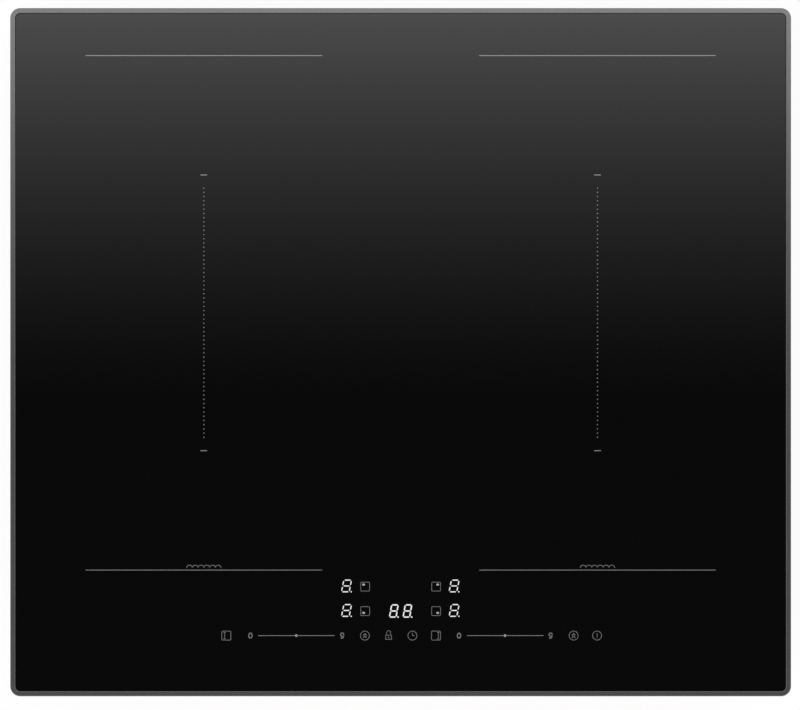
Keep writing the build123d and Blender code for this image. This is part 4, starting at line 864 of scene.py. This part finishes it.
def draw_digit(lit, x, y, size, stroke, gap, lean, point_r):
    """A slanted seven-segment eight with its point; the size is between the middles of the segments."""
    a, b, h = size[0] / 2, size[1] / 2, stroke / 2

    def segment(start, end):
        """A bar with pointed ends from one corner to the next."""
        dx, dy = end[0] - start[0], end[1] - start[1]
        length = hypot(dx, dy)
        ux, uy = dx / length, dy / length
        far = length - gap
        outline = []
        for along, across in ((gap, 0), (gap + h, -h), (far - h, -h), (far, 0), (far - h, h), (gap + h, h)):
            px = start[0] + ux * along - uy * across
            py = start[1] + uy * along + ux * across
            outline.append((x + px + py * lean, y + py))
        lit.plate(outline)

    for level in (-b, 0, b):
        segment((-a, level), (a, level))
    for side in (-a, a):
        for level in (-b, 0):
            segment((side, level), (side, level + b))
    lit.dot(x + a + POINT_OFFSET - b * lean, y - b, point_r, sides=16)


def display_lights():
    """The digits that glow through the glass."""
    lit = Print(GLASS_TOP, INK_T)
    for x in ZONE_DIGIT_X:
        for y in ZONE_DIGIT_Y:
            draw_digit(lit, x, y, **ZONE_DIGIT)
    for sign in SIDES.values():
        draw_digit(lit, sign * TIMER_X, TIMER_Y, **TIMER_DIGIT)
    return lit


def key_lights():
    """Small lamps in the zone keys and at the middle of each slider."""
    lit = Print(GLASS_TOP, INK_T)
    for sign in SIDES.values():
        x = sign * (ZONE_ICON_X + ZONE_LAMP_OUT)
        for y in (ROW_REAR_Y + ZONE_LAMP_OFF, ROW_FRONT_Y - ZONE_LAMP_OFF):
            lit.plate(ellipse(x, y, *ZONE_LAMP_R, 20))
        lit.dot(sign * SLIDER_X, ROW_Y, SLIDER_LAMP_R, sides=16)
    return lit


def add_marks():
    """Everything that is printed on the glass or shines through it."""
    ink = ink_material("ink", INK_GREY)
    digit_light = glow_material("digit_light", DIGIT_COLOUR, DIGIT_GLOW)
    key_light = glow_material("key_light", grey(1.0), LAMP_GLOW)
    for side, sign in SIDES.items():
        zone_marks(sign).build(f"zone_marks_{side}", ink)
    control_marks().build("key_marks", ink)
    slider_marks().build("slider_marks", ink)
    display_lights().build("display_lights", digit_light)
    key_lights().build("key_lights", key_light)


# ---------------------------------------------------------------- windings and springs
COIL_TURNS = 9
COIL_EYE = 28 * MM  # half size of the open middle
STEPS_PER_TURN = 72
CORNER_POWER = 3.2  # 2 lays the turns in circles, more makes them squarer
BUNDLE_SHARES = (0.47, 0.48)  # half sizes of the bundle, of the pitch and of the winding's height
STRANDS = 7
LITZ_SIDES = 21
TWIST = 0.35  # angle by which the strands turn from one step to the next
GROOVE = 0.06  # depth of the grooves between strands, as a share of the bundle


def winding_path(low, high):
    """A flat spiral of rounded squares from the eye outward, at mid height, and its pitch."""
    centre = (low + high) / 2
    half = (high.x - low.x) / 2
    pitch = (half - COIL_EYE) / COIL_TURNS
    start, end = COIL_EYE + pitch / 2, half - pitch / 2
    path = []
    total = (COIL_TURNS - 1) * STEPS_PER_TURN
    for i in range(total + 1):
        angle = tau * i / STEPS_PER_TURN
        radius = start + (end - start) * i / total
        c, s = cos(angle), sin(angle)
        reach = radius / (abs(c) ** CORNER_POWER + abs(s) ** CORNER_POWER) ** (1 / CORNER_POWER)
        path.append(Vector((centre.x + reach * c, centre.y + reach * s, centre.z)))
    return path, pitch


def litz_section(half_w, half_h, phase):
    """An oval with a groove between each two strands."""
    section = []
    for u, v in circle(0, 0, 1.0, LITZ_SIDES):
        groove = 0.5 - 0.5 * cos(STRANDS * atan2(v, u) + phase)
        swell = 1 - GROOVE * groove
        section.append((half_w * u * swell, half_h * v * swell))
    return section


def add_windings():
    """Each winding as one bundle of strands laid in a spiral."""
    for side in SIDES:
        for end in ENDS:
            name = f"coil_winding_{end}_{side}"
            low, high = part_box(name)
            path, pitch = winding_path(low, high)
            half_w, half_h = pitch * BUNDLE_SHARES[0], (high.z - low.z) * BUNDLE_SHARES[1]
            points, faces = sweep(path, lambda i: litz_section(half_w, half_h, i * TWIST))
            copper = MATERIALS["copper"]
            litz = make_object(f"litz_{end}_{side}", points, faces, copper, f"coil_set_{side}", smooth=True)
            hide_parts(name)


def add_coil_springs():
    """The tray springs, copied from their node onto the body of the hob."""
    for side in SIDES:
        name = f"coil_springs_{side}"
        spring = bpy.data.objects.new(f"tray_springs_{side}", frame["nodes"][name].data.copy())
        bpy.context.scene.collection.objects.link(spring)
        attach(spring, "hob")
        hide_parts(name)
        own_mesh(spring)


# ---------------------------------------------------------------- parts inside the case
WELD = 0.001 * MM  # points nearer than this are one
SOLID_KINDS = {  # material by size in plan, in whole millimetres
    (5, 16): "part_black",
    (30, 34): "film_yellow",
    (12, 32): "film_blue",
    (18, 18): "part_black",
    (26, 24): "relay_grey",
    (8, 12): "nylon",
    (10, 18): "nylon",
    (14, 32): "film_yellow",
    (8, 8): "film_blue",
    (20, 16): "relay_grey",
    (28, 12): "nylon",
    (26, 14): "film_yellow",
    (62, 20): "nylon",
    (10, 10): "screw_steel",
}
OTHER_KIND = "part_black"
CAN_PLAN = (18, 18)
CAN_TOP_SHARE = 0.42  # radius of a capacitor's bare top, of its width
CAN_TOP_T = 0.2 * MM
TOROID_PLAN = (34, 34)
TOROID_HOLE_R = 8.0 * MM
TOROID_TURNS = 24
TOROID_SHARE = 0.92  # of the way round that is wound
TOROID_POWER = 0.55  # 1 makes the section round, less makes it squarer
TOROID_CORE_STEPS = 48
TOROID_SECTION_STEPS = 20
WIRE_R = 0.85 * MM
WIRE_SIDES = 7
LEAD_KINDS = ("lead_brown", "lead_blue", "lead_green")
TOUCH_WIRE_R = 0.32 * MM
TOUCH_WIRE_SIDES = 6
TOUCH_TURNS = 6
TOUCH_STEPS_PER_TURN = 18
TOUCH_TAPER = 0.3  # share of the radius that is lost towards the top
TOUCH_END_TURNS = 0.8  # turns at each end that lie flat


def loose_solids(name):
    """The separate solids of a node, each as its low and high corner, points and faces."""
    mesh = frame["nodes"][name].data
    places, numbers = {}, []
    for vertex in mesh.vertices:
        key = tuple(round(c / WELD) for c in vertex.co)
        numbers.append(places.setdefault(key, len(places)))
    owner = list(range(len(places)))

    def root(n):
        while owner[n] != n:
            n = owner[n]
        return n

    for face in mesh.polygons:
        first = root(numbers[face.vertices[0]])
        for vertex in face.vertices:
            owner[root(numbers[vertex])] = first
    families = {}
    for face in mesh.polygons:
        corners = [numbers[vertex] for vertex in face.vertices]
        families.setdefault(root(corners[0]), []).append(corners)
    points = [Vector(key) * WELD for key in places]
    solids = []
    for faces in families.values():
        used = sorted({n for face in faces for n in face})
        number = {old: new for new, old in enumerate(used)}
        own = [points[n] for n in used]
        low = Vector([min(p[axis] for p in own) for axis in range(3)])
        high = Vector([max(p[axis] for p in own) for axis in range(3)])
        solids.append((low, high, own, [[number[n] for n in face] for face in faces]))
    return solids


def show_kinds(name, kinds, smooth=False):
    """Shows pieces, one for each material, in place of a node."""
    for kind, pieces in kinds.items():
        piece = pieces.build(f"{name}_{kind}", MATERIALS[kind], smooth=smooth)
        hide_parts(name)


def squared(angle):
    """A point of a rounded square of half size 1."""
    c, s = cos(angle), sin(angle)
    return copysign(abs(c) ** TOROID_POWER, c), copysign(abs(s) ** TOROID_POWER, s)


def toroid(low, high):
    """A ring core and the wire wound round it, within a box."""
    centre = (low + high) / 2
    outer = (high.x - low.x) / 2
    mean_r = (outer + TOROID_HOLE_R) / 2
    half_w, half_h = (outer - TOROID_HOLE_R) / 2, (high.z - low.z) / 2
    core_w, core_h = half_w - 2 * WIRE_R, half_h - 2 * WIRE_R
    corners = [squared(tau * j / TOROID_SECTION_STEPS) for j in range(TOROID_SECTION_STEPS)]
    section = [(core_w * u, core_h * v) for u, v in corners]
    ring = [centre + Vector((x, y, 0)) for x, y in circle(0, 0, mean_r, TOROID_CORE_STEPS)]
    core = sweep(ring, lambda _: section, closed=True)
    path = []
    steps = TOROID_TURNS * TOROID_SECTION_STEPS
    for i in range(steps + 1):
        around = tau * TOROID_SHARE * i / steps
        u, v = squared(tau * TOROID_TURNS * i / steps)
        radius = mean_r + (half_w - WIRE_R) * u
        path.append(centre + Vector((radius * cos(around), radius * sin(around), (half_h - WIRE_R) * v)))
    return core, wire_mesh(path, WIRE_R, WIRE_SIDES, up=Vector((1, 0, 0)))


def can_top(low, high):
    """The bare aluminium top of a capacitor."""
    top = Print(high.z, CAN_TOP_T)
    top.dot((low.x + high.x) / 2, (low.y + high.y) / 2, CAN_TOP_SHARE * (high.x - low.x), sides=32)
    return top.points, top.faces


def add_board_parts():
    """The parts on the boards: sleeves, cans, wound rings and sockets, each in its material."""
    for name in ("power_parts_left", "power_parts_right", "filter_parts", "terminal_block"):
        kinds = {}
        rings = {}
        for low, high, points, faces in loose_solids(name):
            plan = (round((high.x - low.x) / MM), round((high.y - low.y) / MM))
            if plan == TOROID_PLAN:
                core, wire = toroid(low, high)
                rings.setdefault("ferrite", Pieces()).add(*core)
                rings.setdefault("copper", Pieces()).add(*wire)
                continue
            kinds.setdefault(SOLID_KINDS.get(plan, OTHER_KIND), Pieces()).add(points, faces)
            if plan == CAN_PLAN:
                kinds.setdefault("tray_alu", Pieces()).add(*can_top(low, high))
        show_kinds(name, kinds)
        show_kinds(name, rings, smooth=True)


def add_leads():
    """The mains leads: live, neutral and earth."""
    solids = sorted(loose_solids("mains_leads"), key=lambda solid: solid[0].y)
    kinds = {}
    for kind, (*_, points, faces) in zip(LEAD_KINDS, solids):
        kinds.setdefault(kind, Pieces()).add(points, faces)
    show_kinds("mains_leads", kinds)


def add_touch_springs():
    """A conical wire spring under each key, in place of its sleeve."""
    springs = Pieces()
    steps = TOUCH_TURNS * TOUCH_STEPS_PER_TURN
    for low, high, *_ in loose_solids("touch_springs"):
        centre = (low + high) / 2
        wide = (high.x - low.x) / 2 - TOUCH_WIRE_R
        path = []
        for i in range(steps + 1):
            share = i / steps
            radius = wide * (1 - TOUCH_TAPER * share)
            angle = tau * TOUCH_TURNS * share
            rise = (share * TOUCH_TURNS - TOUCH_END_TURNS) / (TOUCH_TURNS - 2 * TOUCH_END_TURNS)
            z = low.z + TOUCH_WIRE_R + min(max(rise, 0), 1) * (high.z - low.z - 2 * TOUCH_WIRE_R)
            path.append(Vector((centre.x + radius * cos(angle), centre.y + radius * sin(angle), z)))
        springs.add(*wire_mesh(path, TOUCH_WIRE_R, TOUCH_WIRE_SIDES))
    show_kinds("touch_springs", {"spring_steel": springs}, smooth=True)


# ---------------------------------------------------------------- joint and plate
BEAD_W, BEAD_H = 0.14 * MM, 2.4 * MM
BEAD_DROP = 0.3 * MM  # below the top of the glass
GLASS_GAP = 0.15 * MM
GLASS_CORNER_R = 3.85 * MM
PLATE_X, PLATE_Y, PLATE_T = 78 * MM, 38 * MM, 0.3 * MM
PLATE_CORNER_R = 2 * MM
PLATE_AT = (0.0, -196 * MM)
CASE_UNDERSIDE = 1.5 * MM  # above the feet


def add_bead():
    """The black silicone in the joint between glass and trim."""
    size = glass_high - glass_low
    corner_r = GLASS_CORNER_R + GLASS_GAP / 2
    outline = rounded_rectangle(0, 0, size.x + GLASS_GAP, size.y + GLASS_GAP, corner_r, steps=10)
    z = GLASS_TOP - BEAD_DROP - BEAD_H / 2
    a, b = BEAD_W / 2, BEAD_H / 2
    section = [(-a, -b), (a, -b), (a, b), (0, b - BEAD_W), (-a, b)]
    points, faces = sweep([Vector((x, y, z)) for x, y in outline], lambda _: section, closed=True)
    make_object("joint_bead", points, faces, MATERIALS["sealant"])


def add_plate():
    """A bare plate of thin aluminium on the underside."""
    plate = Print(CASE_UNDERSIDE - PLATE_T, PLATE_T)
    plate.plate(rounded_rectangle(*PLATE_AT, PLATE_X, PLATE_Y, PLATE_CORNER_R))
    plate.build("bare_plate", MATERIALS["tray_alu"])


# ---------------------------------------------------------------- making
bpy.context.scene.view_settings.view_transform = "Standard"
add_card(add_camera())
add_floor()
add_world()
add_lamps()
dress_nodes()
add_marks()
add_windings()
add_coil_springs()
add_board_parts()
add_leads()
add_touch_springs()
add_bead()
add_plate()
